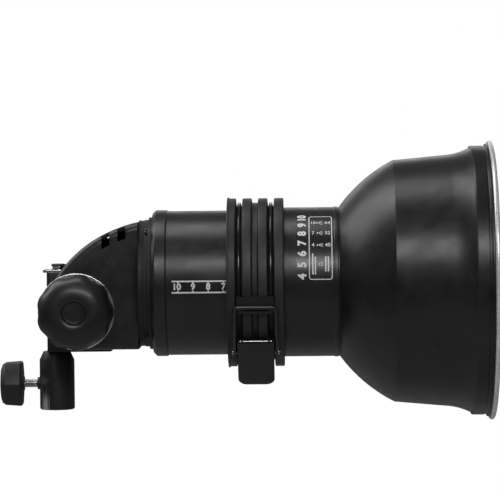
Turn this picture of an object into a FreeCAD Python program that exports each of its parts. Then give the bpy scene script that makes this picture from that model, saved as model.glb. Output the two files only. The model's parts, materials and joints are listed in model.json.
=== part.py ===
import FreeCAD, Part
import math
import os

# Studio flash head with a slide-on zoom reflector.
# Millimetres. The origin is the centre of the stand socket's mouth, +X is the beam, +Z is up.
# "Right" is the -Y side, where the tilt knob and the reflector's latch are.

V = FreeCAD.Vector
CENTRE = V(0, 0, 0)
ALONG_X = V(1, 0, 0)
ALONG_Y = V(0, 1, 0)
ALONG_Z = V(0, 0, 1)

# ---- Layout ----
RUN = 0.3                # air between parts that pass each other
FIT = 0.05               # radial clearance of a pin, screw or shaft in its hole
TILT_X = 16.4            # tilt pivot ahead of the socket
TILT_ABOVE_SOCKET = 28.9  # tilt pivot above the socket's top

# ---- Stand socket and its lock screw ----
SPIGOT_R = 8.0           # standard 16 mm stand spigot
SPIGOT_PLAY = 0.1
SOCKET_WALL = 4.0
SOCKET_BORE = 34.0       # depth of the bore
SOCKET_WEB = 6.4         # metal above the bore
SOCKET_SHOULDER = 5.9    # height of the tapered shoulder
SOCKET_TAPER = 2.8       # how far the shoulder draws in
SOCKET_EDGE = 0.8
LOCK_Z = 18.1
LOCK_SCREW_R = 3.0
LOCK_PAD_LIP = 0.6       # screw's radius beyond the pad's
LOCK_PAD_STEM_R = 1.2
LOCK_PAD_STEM_L = 3.0
LOCK_PAD_SETBACK = 0.5   # pad face behind the bore's wall at rest
LOCK_PAD_T = 1.0
LOCK_INSERT_WALL = 1.25
LOCK_INSERT_PROUD = 1.4
LOCK_REACH = 12.0        # socket wall to knob
LOCK_KNOB_L = 14.9
LOCK_KNOB_R = 16.3
LOCK_KNOB_LOBE = 1.3     # rise of a lobe above the valleys
LOCK_KNOB_LOBES = 6
LOCK_KNOB_GRIP = 8.0     # screw's length inside the knob
LOCK_HUB_R = 5.2
LOCK_HUB_L = 1.5

# ---- Tilt bracket ----
BRACKET_W = 24.0
BRACKET_REAR_WALL = 1.8  # metal behind the socket's bolt
BRACKET_FRONT = 22.2     # pivot to the front face
BRACKET_TOP = 26.0       # pivot to the top face
BRACKET_EDGE = 3.0
SOCKET_BOLT_R = 4.0
SOCKET_BOLT_HEAD = 2.4   # head's radius beyond the shank's
SOCKET_BOLT_HEAD_L = 3.0
SOCKET_BOLT_GRIP = 16.0  # thread in the bracket
BUSH_WALL = 2.5
BUSH_FLANGE_R = 18.0
BUSH_FLANGE_T = 1.2
STOP_PLATE_T = 1.7
STOP_PLATE_W = 18.0
STOP_PLATE_OVERHANG = 2.8
STOP_PLATE_L = 32.0
STOP_PLATE_CORNER = 3.0
STOP_SPACER_WALL = 2.3
STOP_SPACER_H = 2.6
STOP_CAP_R = 5.0
STOP_CAP_T = 1.6
STOP_SCREW_R = 2.0
STOP_SCREW_GRIP = 10.0
STOP_FROM_BACK = 7.6     # back face of the bracket to the stop's centre

# ---- Tilt bolt, disc and knob ----
TILT_BOLT_R = 5.0
TILT_DISC_PROUD = 0.2    # disc's radius beyond the arm's
TILT_DISC_T = 2.0
TILT_NUT_WALL = 4.0      # bolt to the nut's corners
TILT_NUT_T = 6.0
KNOB_R = 26.0
KNOB_LOBE = 1.0          # rise of a lobe above the valleys
KNOB_LOBES = 9
KNOB_PHASE = 20.0        # degrees
KNOB_L = 27.0
KNOB_SKIRT = 17.0        # straight part of the knob's side
KNOB_RECESS_R = 8.2
KNOB_RECESS = 3.0
KNOB_CAP_T = 1.6
KNOB_WEB = 4.0           # end of the bolt to the recess's floor

# ---- Rear housing: two shells with a central well for the bracket ----
HOUSING_W = 68.0
HOUSING_WALL = 3.0
HOUSING_EDGE = 5.5       # rounding of the long outer edges
CROWN_DROP = 3.1         # crown of the back below the flange's rim
ARM_R = 26.5             # round ends of the fork's arms
ARM_TOP_ANGLE = 125.0    # where the sloping back leaves the round arm
BACK_BULGE = 7.3         # rise of the sloping back above its chord
WELL_GAP = 1.56          # what turns in the well to the well's round wall
WELL_SIDE = 1.5          # bracket's side to the well's wall
WELL_AHEAD = 3.3         # well to the flange's joint
VENT_W = 5.5
VENT_PITCH = 11.0
VENT_AHEAD = 8.2         # last vent to the flange's joint
VENT_COUNT = 2
VENT_DEPTH = 9.0
VENT_WEB = 3.5           # well's wall to the vents' inner ends
BOSS_R = 3.5
SHELL_SCREW_R = 1.5
SHELL_SCREW_HEAD_R = 2.8
SHELL_SCREW_HEAD_T = 2.0
SHELL_SCREW_SUNK = 0.3
PIVOT_BOSS_WALL = 1.5

# ---- Flange, barrel ring and barrel ----
BARREL_R = 50.0
BARREL_WALL = 2.5
BARREL_L = 104.0         # free length ahead of the ring
RING_STEP = 0.7          # ring's radius beyond the barrel's
RING_L = 10.5
RING_ROUND = 2.0
SPIGOT_L = 5.0           # ring's spigots into the flange and the barrel
SPIGOT_WALL = 5.0
FLANGE_INSET = 4.9       # flange's rim inside the ring's
FLANGE_L = 9.2
FLANGE_WALL = 4.8
FLANGE_STEP = 1.6
FLANGE_SCREW_R = 1.3
FLANGE_SCREW_HEAD_R = 2.1
FLANGE_SCREW_SEAT = 1.2
FLANGE_SCREW_PROUD = 0.2
FLANGE_SCREW_AHEAD = 0.7
FLANGE_SCREW_ANGLES = (54.0, 126.0, 234.0, 306.0)

# ---- Inside the barrel ----
FAN_AHEAD = 2.0          # ring's spigot to the fan
FAN_CORNER_GAP = 5.07    # fan frame's square corner to the barrel's bore
FAN_FRAME_WALL = 2.0
FAN_T = 15.0
FAN_TIP_GAP = 1.2
FAN_HUB_R = 12.5
FAN_BLADES = 7
FAN_BLADE_T = 1.4
FAN_BLADE_PITCH = 38.0   # degrees
FAN_STRUT_W = 4.0
FAN_STRUT_T = 2.0
FAN_SPINDLE_R = 1.5
FAN_SPACER_R = 2.5
CHASSIS_GAP = 4.0        # fan to chassis disc
CHASSIS_T = 2.0
CHASSIS_HOLE_R = 24.0
ROD_COUNT = 3
ROD_R = 3.0
ROD_INSET = 7.5          # rods' centres inside the barrel's bore
BASE_SETBACK = 13.4      # front of the barrel to the lamp base's face
BASE_T = 4.0
COIL_R = 9.0
COIL_L = 26.0
COIL_CORE_R = 4.0
COIL_CORE_L = 4.0
COIL_GAP = 3.0
TERMINAL_L = 24.0
TERMINAL_W = 30.0
TERMINAL_H = 12.0
TERMINAL_WAYS = 4
TERMINAL_HOLE_R = 2.0

# ---- Lamps ----
HOLDER_R = 13.0
HOLDER_BACK = 18.0
HOLDER_FRONT = 9.0
HOLDER_STEP = 3.0
LAMP_R = 8.0
LAMP_L = 36.0
LAMP_NECK_R = 6.0
FLASH_TUBE_R = 4.5
FLASH_AIR = 7.5          # flash tube to the glass around it
FLASH_RING_AHEAD = 24.0  # base to the middle of the ring
FLASH_GAP = 24.0         # distance between the tube's legs
TERMINAL_R = 6.5
TERMINAL_AHEAD = 7.0
TERMINAL_BACK = 6.0
COVER_INSET = 4.5        # glass inside the barrel's bore
COVER_WALL = 2.0
COVER_STRAIGHT = 26.0    # straight part ahead of the base
COVER_RING_L = 5.0

# ---- Inlet and lamp switch on the left side ----
PANEL_AHEAD = 14.7       # centres of the inlet and switch to the flange's joint
INLET_BELOW = 11.3       # inlet below the tilt pivot
INLET_R = 9.0
INLET_WALL = 1.5
INLET_FLANGE = 2.5       # flange's radius beyond the body's
INLET_FLANGE_T = 1.5
INLET_DEPTH = 11.0
INLET_FLOOR = 3.0
INLET_PIN_R = 1.0
INLET_PIN_CIRCLE_R = 4.2
INLET_PIN_SUNK = 2.5
INLET_PIN_COUNT = 5
SWITCH_ABOVE = 5.0       # switch above the optical axis
SWITCH_W = 11.0          # opening along X
SWITCH_H = 19.0          # opening along Z
SWITCH_WALL = 1.6
SWITCH_LIP = 1.6
SWITCH_LIP_T = 1.2
SWITCH_DEPTH = 9.0
SWITCH_PIN_R = 1.0
SWITCH_PIN_DEPTH = 2.0
SWITCH_THROW = 20.0      # degrees

# ---- Reflector ----
NECK_PLAY = 0.35         # neck on the barrel
NECK_WALL = 1.35
NECK_OVERLAP = 62.7      # collar's rear edge behind the barrel's front, at rest
NECK_SHOWING = 38.3      # neck ahead of the collar
BELL_WALL = 1.8
SHOULDER_L = 37.4        # neck to the bell's shoulder
SHOULDER_RISE = 32.0
SIDE_L = 38.7            # shoulder to the start of the flare
SIDE_RISE = 3.5
FLARE_L = 14.4
FLARE_RISE = 4.6
BAND_L = 10.6
BAND_T = 1.4
RIM_L = 5.0
RIM_PROUD = 2.9

# ---- Rubber collar and its wires ----
COLLAR_T = 6.6
COLLAR_FLOOR_T = 3.5     # rubber under an empty groove
COLLAR_FIRST_RIB = 6.2
COLLAR_RIB = 6.7
COLLAR_GAP = 4.2
COLLAR_GAPS = 3
COLLAR_LIP = 0.7
COLLAR_LIP_L = 1.2
WIRE_R = 1.3
WIRE_BED = 1.2           # rubber under a wire
WIRED_GAPS = (0, 2)

# ---- Over-centre latch, drawn on its own outward axis ----
LATCH_ANGLE = 45.0       # below the horizontal on the right side
CATCH_ANGLE = 14.0
BAIL_LIFT = 1.9          # bail's underside above the collar
BAIL_CORNER_R = 4.0
BAIL_PIN_BACK = 2.7
BAIL_PIN_LIFT = 4.1      # bail's pins above the collar
BAIL_PIN_PROUD = 0.4
LEVER_HALF_W = 12.5
LEVER_T = 1.2
LEVER_END = 33.5         # lever's free end from the latch's own axis
LEVER_FLANGE_T = 1.4
LEVER_FLANGE_DROP = 3.0
LEVER_FLANGE_BACK = 6.0
LEVER_CORNER_R = 6.0
LEVER_OVER_PIVOT = 1.8   # pivot to the lever's inner face
LEVER_STUB = 1.2         # lever beyond its pivot
PIVOT_Y = 7.5
PIVOT_LIFT = 3.5         # pivot above the collar
LATCH_PIN_R = 1.0
LATCH_PLATE_T = 1.3
LATCH_EAR_GAP = 1.1      # ear to the lever's flange
LATCH_EAR_T = 1.5
LATCH_EAR_ROUND = 0.5    # ear's metal around the pin
LATCH_BASE_END = 14.0
LATCH_LUG_L = 4.0
LATCH_LUG_EDGE = 0.2
CATCH_FRONT = 7.0
CATCH_BACK = 5.0
HOOK_HALF_W = 8.0
HOOK_T = 1.7
HOOK_GAP = 1.2
HOOK_PROUD = 0.1

# ---- Places that follow from the sizes above ----
SOCKET_BORE_R = SPIGOT_R + SPIGOT_PLAY
SOCKET_R = SOCKET_BORE_R + SOCKET_WALL
SOCKET_H = SOCKET_BORE + SOCKET_WEB
LOCK_PAD_R = LOCK_SCREW_R - LOCK_PAD_LIP
LOCK_INSERT_R = LOCK_SCREW_R + FIT + LOCK_INSERT_WALL
LOCK_KNOB_X = -SOCKET_R - LOCK_REACH
LOCK_TIP_X = -SOCKET_BORE_R - LOCK_PAD_SETBACK

TILT_Z = SOCKET_H + TILT_ABOVE_SOCKET
BRACKET_X0 = -SOCKET_BOLT_R - BRACKET_REAR_WALL
BRACKET_X1 = TILT_X + BRACKET_FRONT
BRACKET_Z1 = TILT_Z + BRACKET_TOP
BUSH_R = TILT_BOLT_R + BUSH_WALL
STOP_X = BRACKET_X0 + STOP_FROM_BACK
STOP_PLATE_Z1 = BRACKET_Z1 + STOP_PLATE_T
STOP_SPACER_Z1 = STOP_PLATE_Z1 + STOP_SPACER_H
WELL_CORNERS = (
    (BRACKET_X1 - TILT_X, BRACKET_TOP),
    (BRACKET_X1 - TILT_X, TILT_ABOVE_SOCKET),
    (TILT_X - BRACKET_X0, TILT_ABOVE_SOCKET),
    (TILT_X - BRACKET_X0 + STOP_PLATE_OVERHANG, STOP_PLATE_Z1 - TILT_Z),
    (TILT_X - STOP_X + STOP_CAP_R, STOP_SPACER_Z1 + STOP_CAP_T - TILT_Z),
)
WELL_R = max(math.hypot(*corner) for corner in WELL_CORNERS) + WELL_GAP
WELL_HALF_W = BRACKET_W / 2 + WELL_SIDE
TILT_DISC_R = ARM_R + TILT_DISC_PROUD
TILT_NUT_R = TILT_BOLT_R + TILT_NUT_WALL

BARREL_BORE_R = BARREL_R - BARREL_WALL
RING_R = BARREL_R + RING_STEP
FLANGE_R = RING_R - FLANGE_INSET
FLANGE_BORE_R = FLANGE_R - FLANGE_WALL
HOUSING_TOP = FLANGE_R - CROWN_DROP
AXIS_Z = TILT_Z - ARM_R + FLANGE_R - FLANGE_STEP

HOUSING_HALF_W = HOUSING_W / 2
KNOB_Y = -HOUSING_HALF_W - TILT_DISC_T - RUN
HOUSING_X1 = TILT_X + WELL_R + WELL_AHEAD
VENT_X0 = HOUSING_X1 - VENT_AHEAD - VENT_W - (VENT_COUNT - 1) * VENT_PITCH
VENT_INNER_Y = WELL_HALF_W + HOUSING_WALL + VENT_WEB
PANEL_X = HOUSING_X1 - PANEL_AHEAD
INLET_Z = TILT_Z - INLET_BELOW
SWITCH_Z = AXIS_Z + SWITCH_ABOVE
SHELL_SCREW_POINTS = (
    (VENT_X0 + VENT_W + (VENT_PITCH - VENT_W) / 2, TILT_Z + WELL_R + HOUSING_WALL + 1.0),
    (HOUSING_X1 - BOSS_R - 1.0, AXIS_Z + HOUSING_TOP - HOUSING_WALL - 2 * BOSS_R),
    (HOUSING_X1 - BOSS_R - 0.8, TILT_Z - ARM_R + HOUSING_WALL + 1.8),
)

FLANGE_X1 = HOUSING_X1 + FLANGE_L
RING_X1 = FLANGE_X1 + RING_L
BARREL_X1 = RING_X1 + BARREL_L
FAN_SIDE = math.sqrt(2) * (BARREL_BORE_R - FAN_CORNER_GAP)
FAN_BORE_R = FAN_SIDE / 2 - FAN_FRAME_WALL
FAN_X0 = RING_X1 + SPIGOT_L + FAN_AHEAD
FAN_X1 = FAN_X0 + FAN_T
CHASSIS_X0 = FAN_X1 + CHASSIS_GAP
CHASSIS_X1 = CHASSIS_X0 + CHASSIS_T
ROD_CIRCLE_R = BARREL_BORE_R - ROD_INSET
BASE_X1 = BARREL_X1 - BASE_SETBACK
BASE_X0 = BASE_X1 - BASE_T
COVER_R = BARREL_BORE_R - COVER_INSET
FLASH_RING_R = COVER_R - COVER_WALL - FLASH_AIR - FLASH_TUBE_R

NECK_BORE_R = BARREL_R + NECK_PLAY
NECK_R = NECK_BORE_R + NECK_WALL
COLLAR_X0 = BARREL_X1 - NECK_OVERLAP
COLLAR_X1 = COLLAR_X0 + COLLAR_FIRST_RIB + COLLAR_GAPS * (COLLAR_GAP + COLLAR_RIB)
COLLAR_R = NECK_R + COLLAR_T
COLLAR_FLOOR_R = NECK_R + COLLAR_FLOOR_T
COLLAR_LIP_R = COLLAR_R + COLLAR_LIP
WIRE_RING_R = NECK_R + WIRE_BED + WIRE_R
NECK_X1 = COLLAR_X1 + NECK_SHOWING
BELL_SHOULDER_X = NECK_X1 + SHOULDER_L
BELL_SHOULDER_R = NECK_R + SHOULDER_RISE
BELL_SIDE_X = BELL_SHOULDER_X + SIDE_L
BELL_SIDE_R = BELL_SHOULDER_R + SIDE_RISE
MOUTH_R = BELL_SIDE_R + FLARE_RISE
BAND_X0 = BELL_SIDE_X + FLARE_L
BAND_X1 = BAND_X0 + BAND_L
BAND_R = MOUTH_R + BAND_T
RIM_R = BAND_R + RIM_PROUD
RIM_INNER_R = MOUTH_R - BELL_WALL

LATCH_X = (COLLAR_X0 + COLLAR_X1) / 2
BAIL_R = COLLAR_R + BAIL_LIFT + WIRE_R
BAIL_HALF_W = LEVER_HALF_W + WIRE_R + RUN
BAIL_PIN_OUT = COLLAR_R + BAIL_PIN_LIFT
PIVOT_OUT = COLLAR_R + PIVOT_LIFT
EAR_OUTER_X = LEVER_HALF_W - LEVER_FLANGE_T - LATCH_EAR_GAP
WIRE_OFFSET = LATCH_X - COLLAR_X0 - COLLAR_FIRST_RIB - COLLAR_GAP / 2
CATCH_HALF_W = WIRE_OFFSET + WIRE_R + LATCH_LUG_EDGE


# ---- Helpers ----
def save(name, shape):
    shape.exportStep("parts/%s.step" % name)


def block(x0, x1, y0, y1, z0, z1):
    return Part.makeBox(x1 - x0, y1 - y0, z1 - z0, V(x0, y0, z0))


def rod(start, end, radius):
    run = end - start
    return Part.makeCylinder(radius, run.Length, start, run)


def disc(x0, x1, radius, hole=0.0):
    """Round piece about the optical axis, with an optional bore."""
    piece = rod(V(x0, 0, AXIS_Z), V(x1, 0, AXIS_Z), radius)
    if hole > 0:
        piece = piece.cut(rod(V(x0, 0, AXIS_Z), V(x1, 0, AXIS_Z), hole))
    return piece


def outline(points):
    """Closed wire in the XZ plane; a triple in the list is an arc's middle point and end."""
    edges = []
    here = points[0]
    for step in points[1:] + [points[0]]:
        if isinstance(step[0], tuple):
            middle, end = step
            edges.append(Part.Arc(V(here[0], 0, here[1]), V(middle[0], 0, middle[1]),
                                  V(end[0], 0, end[1])).toShape())
            here = end
        elif math.dist(here, step) > 1e-6:
            edges.append(Part.makeLine(V(here[0], 0, here[1]), V(step[0], 0, step[1])))
            here = step
    return Part.Wire(edges)


def turned(points):
    """Solid turned about the optical axis from (x, radius) points."""
    solid = Part.Face(outline(points)).revolve(CENTRE, ALONG_X, 360)
    solid.translate(V(0, 0, AXIS_Z))
    return solid


def spun(points):
    """Solid turned about Z at the origin from (radius, z) points."""
    return Part.Face(outline(points)).revolve(CENTRE, ALONG_Z, 360)


def fused(pieces):
    return pieces[0].multiFuse(pieces[1:]).removeSplitter()


def lobed_prism(count, tip, valley, phase, length):
    """Prism along +Z whose outline waves between the tip and valley radii."""
    def at(radius, turns):
        angle = math.radians(phase) + 2 * math.pi * turns / count
        return V(radius * math.cos(angle), radius * math.sin(angle), 0)
    middle = (tip + valley) / 2
    edges = []
    for lobe in range(count):
        edges.append(Part.Arc(at(middle, lobe - 0.32), at(tip, lobe), at(middle, lobe + 0.32)).toShape())
        edges.append(Part.Arc(at(middle, lobe + 0.32), at(valley, lobe + 0.5),
                              at(middle, lobe + 0.68)).toShape())
    return Part.Face(Part.Wire(edges)).extrude(V(0, 0, length))


def face_along(shape, direction, place):
    """Turns a piece built along +Z to face the direction, and moves it to its place."""
    shape.Placement = FreeCAD.Placement(place, FreeCAD.Rotation(ALONG_Z, direction))
    return shape


def on_collar(shape, angle):
    """Moves a piece built about +Z to the right side, the angle below the horizontal."""
    shape.rotate(CENTRE, ALONG_X, 90 + angle)
    shape.translate(V(LATCH_X, 0, AXIS_Z))
    return shape


def around(radius, angle):
    """Point offset (y, z) at an angle from straight up, turning towards the right side."""
    return -radius * math.sin(math.radians(angle)), radius * math.cos(math.radians(angle))


# ---- Stand socket, bracket and tilt stop ----
def make_stand_socket():
    body = spun([
        (0, 0), (SOCKET_R - SOCKET_EDGE, 0), (SOCKET_R, SOCKET_EDGE),
        (SOCKET_R, SOCKET_H - SOCKET_SHOULDER),
        (SOCKET_R - SOCKET_TAPER, SOCKET_H), (0, SOCKET_H)])
    body = body.cut(rod(CENTRE, V(0, 0, SOCKET_BORE), SOCKET_BORE_R))
    body = body.cut(rod(V(-2 * SOCKET_R, 0, LOCK_Z), V(LOCK_TIP_X, 0, LOCK_Z), LOCK_INSERT_R))
    body = body.cut(rod(V(LOCK_TIP_X, 0, LOCK_Z), V(0, 0, LOCK_Z), LOCK_SCREW_R + FIT))
    return body.cut(make_socket_bolt())


def make_socket_bolt():
    head = Part.makeCone(SOCKET_BOLT_R + SOCKET_BOLT_HEAD, SOCKET_BOLT_R, SOCKET_BOLT_HEAD_L,
                         V(0, 0, SOCKET_BORE))
    shank = rod(V(0, 0, SOCKET_BORE), V(0, 0, SOCKET_H + SOCKET_BOLT_GRIP), SOCKET_BOLT_R)
    return fused([head, shank])


def make_lock_insert():
    start = -SOCKET_R - LOCK_INSERT_PROUD
    insert = rod(V(start, 0, LOCK_Z), V(LOCK_TIP_X, 0, LOCK_Z), LOCK_INSERT_R)
    return insert.cut(rod(V(start, 0, LOCK_Z), V(LOCK_TIP_X, 0, LOCK_Z), LOCK_SCREW_R + FIT))


def make_tilt_bracket():
    half = BRACKET_W / 2
    body = block(BRACKET_X0, BRACKET_X1, -half, half, SOCKET_H, BRACKET_Z1)
    upright = [edge for edge in body.Edges if abs(edge.tangentAt(0).z) > 0.9]
    body = body.makeFillet(BRACKET_EDGE, upright)
    for side in (-1, 1):
        pocket = rod(V(TILT_X, side * half, TILT_Z), V(TILT_X, side * (half - BUSH_FLANGE_T), TILT_Z),
                     BUSH_FLANGE_R)
        body = body.cut(pocket)
    body = body.cut(rod(V(TILT_X, -half, TILT_Z), V(TILT_X, half, TILT_Z), BUSH_R))
    body = body.cut(rod(V(STOP_X, 0, BRACKET_Z1 - STOP_SCREW_GRIP), V(STOP_X, 0, BRACKET_Z1),
                        STOP_SCREW_R))
    return body.cut(make_socket_bolt())


def make_tilt_bushes():
    """Two flanged bushes, one from each side, that meet in the middle of the bracket."""
    half = BRACKET_W / 2
    bushes = []
    for side in (-1, 1):
        sleeve = rod(V(TILT_X, 0, TILT_Z), V(TILT_X, side * half, TILT_Z), BUSH_R)
        flange = rod(V(TILT_X, side * (half - BUSH_FLANGE_T), TILT_Z),
                     V(TILT_X, side * (half + WELL_SIDE - RUN), TILT_Z), BUSH_FLANGE_R)
        hole = rod(V(TILT_X, 0, TILT_Z), V(TILT_X, side * (half + WELL_SIDE), TILT_Z), TILT_BOLT_R + FIT)
        bushes.append(fused([sleeve, flange]).cut(hole))
    return Part.makeCompound(bushes)


def make_stop_plate():
    back = BRACKET_X0 - STOP_PLATE_OVERHANG
    half = STOP_PLATE_W / 2
    plate = block(back, back + STOP_PLATE_L, -half, half, BRACKET_Z1, STOP_PLATE_Z1)
    upright = [edge for edge in plate.Edges if abs(edge.tangentAt(0).z) > 0.9]
    plate = plate.makeFillet(STOP_PLATE_CORNER, upright)
    return plate.cut(rod(V(STOP_X, 0, BRACKET_Z1), V(STOP_X, 0, STOP_PLATE_Z1), STOP_SCREW_R))


def make_stop_spacer():
    low = V(STOP_X, 0, STOP_PLATE_Z1)
    high = V(STOP_X, 0, STOP_SPACER_Z1)
    return rod(low, high, STOP_SCREW_R + STOP_SPACER_WALL).cut(rod(low, high, STOP_SCREW_R))


def make_stop_cap():
    head = spun([
        (0, 0), (STOP_CAP_R, 0), (STOP_CAP_R, STOP_CAP_T - 0.5), (STOP_CAP_R - 0.8, STOP_CAP_T),
        (0, STOP_CAP_T)])
    head.translate(V(STOP_X, 0, STOP_SPACER_Z1))
    shank = rod(V(STOP_X, 0, BRACKET_Z1 - STOP_SCREW_GRIP), V(STOP_X, 0, STOP_SPACER_Z1), STOP_SCREW_R)
    return fused([head, shank])


# ---- Lock screw ----
def make_lock_pad():
    back = LOCK_TIP_X - LOCK_PAD_T
    face = rod(V(back, 0, LOCK_Z), V(LOCK_TIP_X, 0, LOCK_Z), LOCK_PAD_R)
    stem = rod(V(back - LOCK_PAD_STEM_L, 0, LOCK_Z), V(LOCK_TIP_X, 0, LOCK_Z), LOCK_PAD_STEM_R)
    return fused([face, stem])


def make_lock_screw():
    tip = LOCK_TIP_X - LOCK_PAD_T - FIT
    shank = rod(V(LOCK_KNOB_X - LOCK_KNOB_GRIP, 0, LOCK_Z), V(tip, 0, LOCK_Z), LOCK_SCREW_R)
    seat = rod(V(tip - LOCK_PAD_STEM_L - 1, 0, LOCK_Z), V(tip, 0, LOCK_Z), LOCK_PAD_STEM_R + FIT)
    return shank.cut(seat)


def make_lock_knob():
    envelope = spun([
        (0, 0), (LOCK_KNOB_R - 0.8, 0), (LOCK_KNOB_R, 0.8), (LOCK_KNOB_R - 1.0, LOCK_KNOB_L - 3.0),
        (LOCK_KNOB_R - 3.0, LOCK_KNOB_L - 0.8), (0, LOCK_KNOB_L)])
    prism = lobed_prism(LOCK_KNOB_LOBES, LOCK_KNOB_R, LOCK_KNOB_R - LOCK_KNOB_LOBE, 30, LOCK_KNOB_L)
    knob = face_along(envelope.common(prism), V(-1, 0, 0), V(LOCK_KNOB_X, 0, LOCK_Z))
    hub = rod(V(LOCK_KNOB_X, 0, LOCK_Z), V(LOCK_KNOB_X + LOCK_HUB_L, 0, LOCK_Z), LOCK_HUB_R)
    return fused([knob, hub]).cut(make_lock_screw())


# ---- Tilt bolt and knob ----
def tilt_bore():
    """Clearance hole for the tilt bolt, right across the head."""
    return rod(V(TILT_X, -HOUSING_W, TILT_Z), V(TILT_X, HOUSING_W, TILT_Z), TILT_BOLT_R + FIT)


def make_tilt_disc():
    start = V(TILT_X, -HOUSING_HALF_W, TILT_Z)
    end = start - V(0, TILT_DISC_T, 0)
    plate = rod(start, end, TILT_DISC_R)
    rim = [edge for edge in plate.Edges if edge.Length > 6 * TILT_DISC_R]
    plate = plate.makeFillet(0.5, rim)
    return plate.cut(rod(start, end, TILT_BOLT_R + FIT))


def make_tilt_nut():
    sides = 6
    corners = []
    for corner in range(sides + 1):
        angle = 2 * math.pi * corner / sides
        corners.append(V(TILT_NUT_R * math.cos(angle), 0, TILT_NUT_R * math.sin(angle)))
    nut = Part.Face(Part.makePolygon(corners)).extrude(V(0, TILT_NUT_T, 0))
    nut.translate(V(TILT_X, HOUSING_HALF_W - TILT_NUT_T, TILT_Z))
    return nut.cut(tilt_bore())


def make_tilt_knob():
    envelope = spun([
        (0, 0), (KNOB_R - 1.6, 0), (KNOB_R, 1.6), (KNOB_R, KNOB_SKIRT),
        ((0.79 * KNOB_R, KNOB_SKIRT + 0.73 * (KNOB_L - KNOB_SKIRT)), (KNOB_RECESS_R + 1.5, KNOB_L)),
        (KNOB_RECESS_R, KNOB_L - 0.4), (KNOB_RECESS_R, KNOB_L - KNOB_RECESS), (0, KNOB_L - KNOB_RECESS)])
    prism = lobed_prism(KNOB_LOBES, KNOB_R, KNOB_R - KNOB_LOBE, KNOB_PHASE, KNOB_L)
    start = V(TILT_X, KNOB_Y, TILT_Z)
    knob = face_along(envelope.common(prism), V(0, -1, 0), start)
    return knob.cut(make_tilt_bolt())


def make_tilt_bolt():
    inner = KNOB_Y - (KNOB_L - KNOB_RECESS) + KNOB_WEB
    return rod(V(TILT_X, inner, TILT_Z), V(TILT_X, HOUSING_HALF_W - 0.5, TILT_Z), TILT_BOLT_R)


def make_tilt_cap():
    outer = KNOB_Y - (KNOB_L - KNOB_RECESS)
    cap = spun([(0, 0), (KNOB_RECESS_R, 0), (KNOB_RECESS_R, KNOB_CAP_T - 0.6),
                (KNOB_RECESS_R - 1.2, KNOB_CAP_T), (0, KNOB_CAP_T)])
    return face_along(cap, V(0, -1, 0), V(TILT_X, outer, TILT_Z))


# ---- Rear housing ----
def housing_outline(inset, front):
    """Side outline of the housing, drawn in by the inset, out to the front given."""
    radius = ARM_R - inset
    top = math.radians(ARM_TOP_ANGLE)
    arm_top = (TILT_X + radius * math.cos(top), TILT_Z + radius * math.sin(top))
    crown = (HOUSING_X1, AXIS_Z + HOUSING_TOP - inset)
    chord = math.dist(arm_top, crown)
    slope = ((crown[0] - arm_top[0]) / chord, (crown[1] - arm_top[1]) / chord)
    middle = ((arm_top[0] + crown[0]) / 2 - BACK_BULGE * slope[1],
              (arm_top[1] + crown[1]) / 2 + BACK_BULGE * slope[0])
    bottom = TILT_Z - radius
    points = [
        (TILT_X, bottom), (front, bottom), (front, crown[1]), crown, (middle, arm_top),
        ((TILT_X - radius, TILT_Z), (TILT_X, bottom))]
    return outline(points)


def housing_block(inset, half_width, front):
    face = Part.Face(housing_outline(inset, front))
    solid = face.extrude(V(0, 2 * half_width, 0))
    solid.translate(V(0, -half_width, 0))
    return solid


def make_housing():
    """Whole housing before it is parted into its right and left shells."""
    body = housing_block(0, HOUSING_HALF_W, HOUSING_X1)
    long_edges = [
        edge for edge in body.Edges
        if abs(abs(edge.CenterOfMass.y) - HOUSING_HALF_W) < 0.01 and edge.CenterOfMass.x < HOUSING_X1 - 1]
    body = body.makeFillet(HOUSING_EDGE, long_edges)
    cavity = housing_block(HOUSING_WALL, HOUSING_HALF_W - HOUSING_WALL, HOUSING_X1 + 1)
    side = WELL_HALF_W + HOUSING_WALL
    cavity = cavity.cut(rod(V(TILT_X, -side, TILT_Z), V(TILT_X, side, TILT_Z), WELL_R + HOUSING_WALL))
    cavity = cavity.cut(rod(V(TILT_X, -HOUSING_W, TILT_Z), V(TILT_X, HOUSING_W, TILT_Z),
                            TILT_NUT_R + PIVOT_BOSS_WALL))
    for x, z in SHELL_SCREW_POINTS:
        cavity = cavity.cut(rod(V(x, -HOUSING_W, z), V(x, HOUSING_W, z), BOSS_R))
    body = body.cut(cavity)
    well = rod(V(TILT_X, -WELL_HALF_W, TILT_Z), V(TILT_X, WELL_HALF_W, TILT_Z), WELL_R)
    body = body.cut(well)
    body = body.cut(tilt_bore())
    core = housing_block(VENT_DEPTH, HOUSING_W, HOUSING_X1)
    for vent in range(VENT_COUNT):
        x0 = VENT_X0 + vent * VENT_PITCH
        for side in (-1, 1):
            reach = sorted((side * VENT_INNER_Y, side * HOUSING_W))
            slot = block(x0, x0 + VENT_W, reach[0], reach[1], AXIS_Z, AXIS_Z + 2 * HOUSING_TOP)
            body = body.cut(slot.cut(core))
    return body


def make_shell(housing, side):
    reach = sorted((0, side * HOUSING_W))
    shell = housing.common(block(-2 * ARM_R, HOUSING_X1 + 1, reach[0], reach[1], 0, 2 * AXIS_Z))
    shell = shell.cut(make_housing_screws())
    if side > 0:
        shell = shell.cut(make_tilt_nut())
        shell = shell.cut(rod(V(PANEL_X, HOUSING_HALF_W - INLET_DEPTH, INLET_Z),
                              V(PANEL_X, HOUSING_W, INLET_Z), INLET_R))
        half_w = SWITCH_W / 2 + SWITCH_WALL
        half_h = SWITCH_H / 2 + SWITCH_WALL
        shell = shell.cut(block(PANEL_X - half_w, PANEL_X + half_w, HOUSING_HALF_W - SWITCH_DEPTH,
                                HOUSING_HALF_W, SWITCH_Z - half_h, SWITCH_Z + half_h))
    return shell


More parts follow.
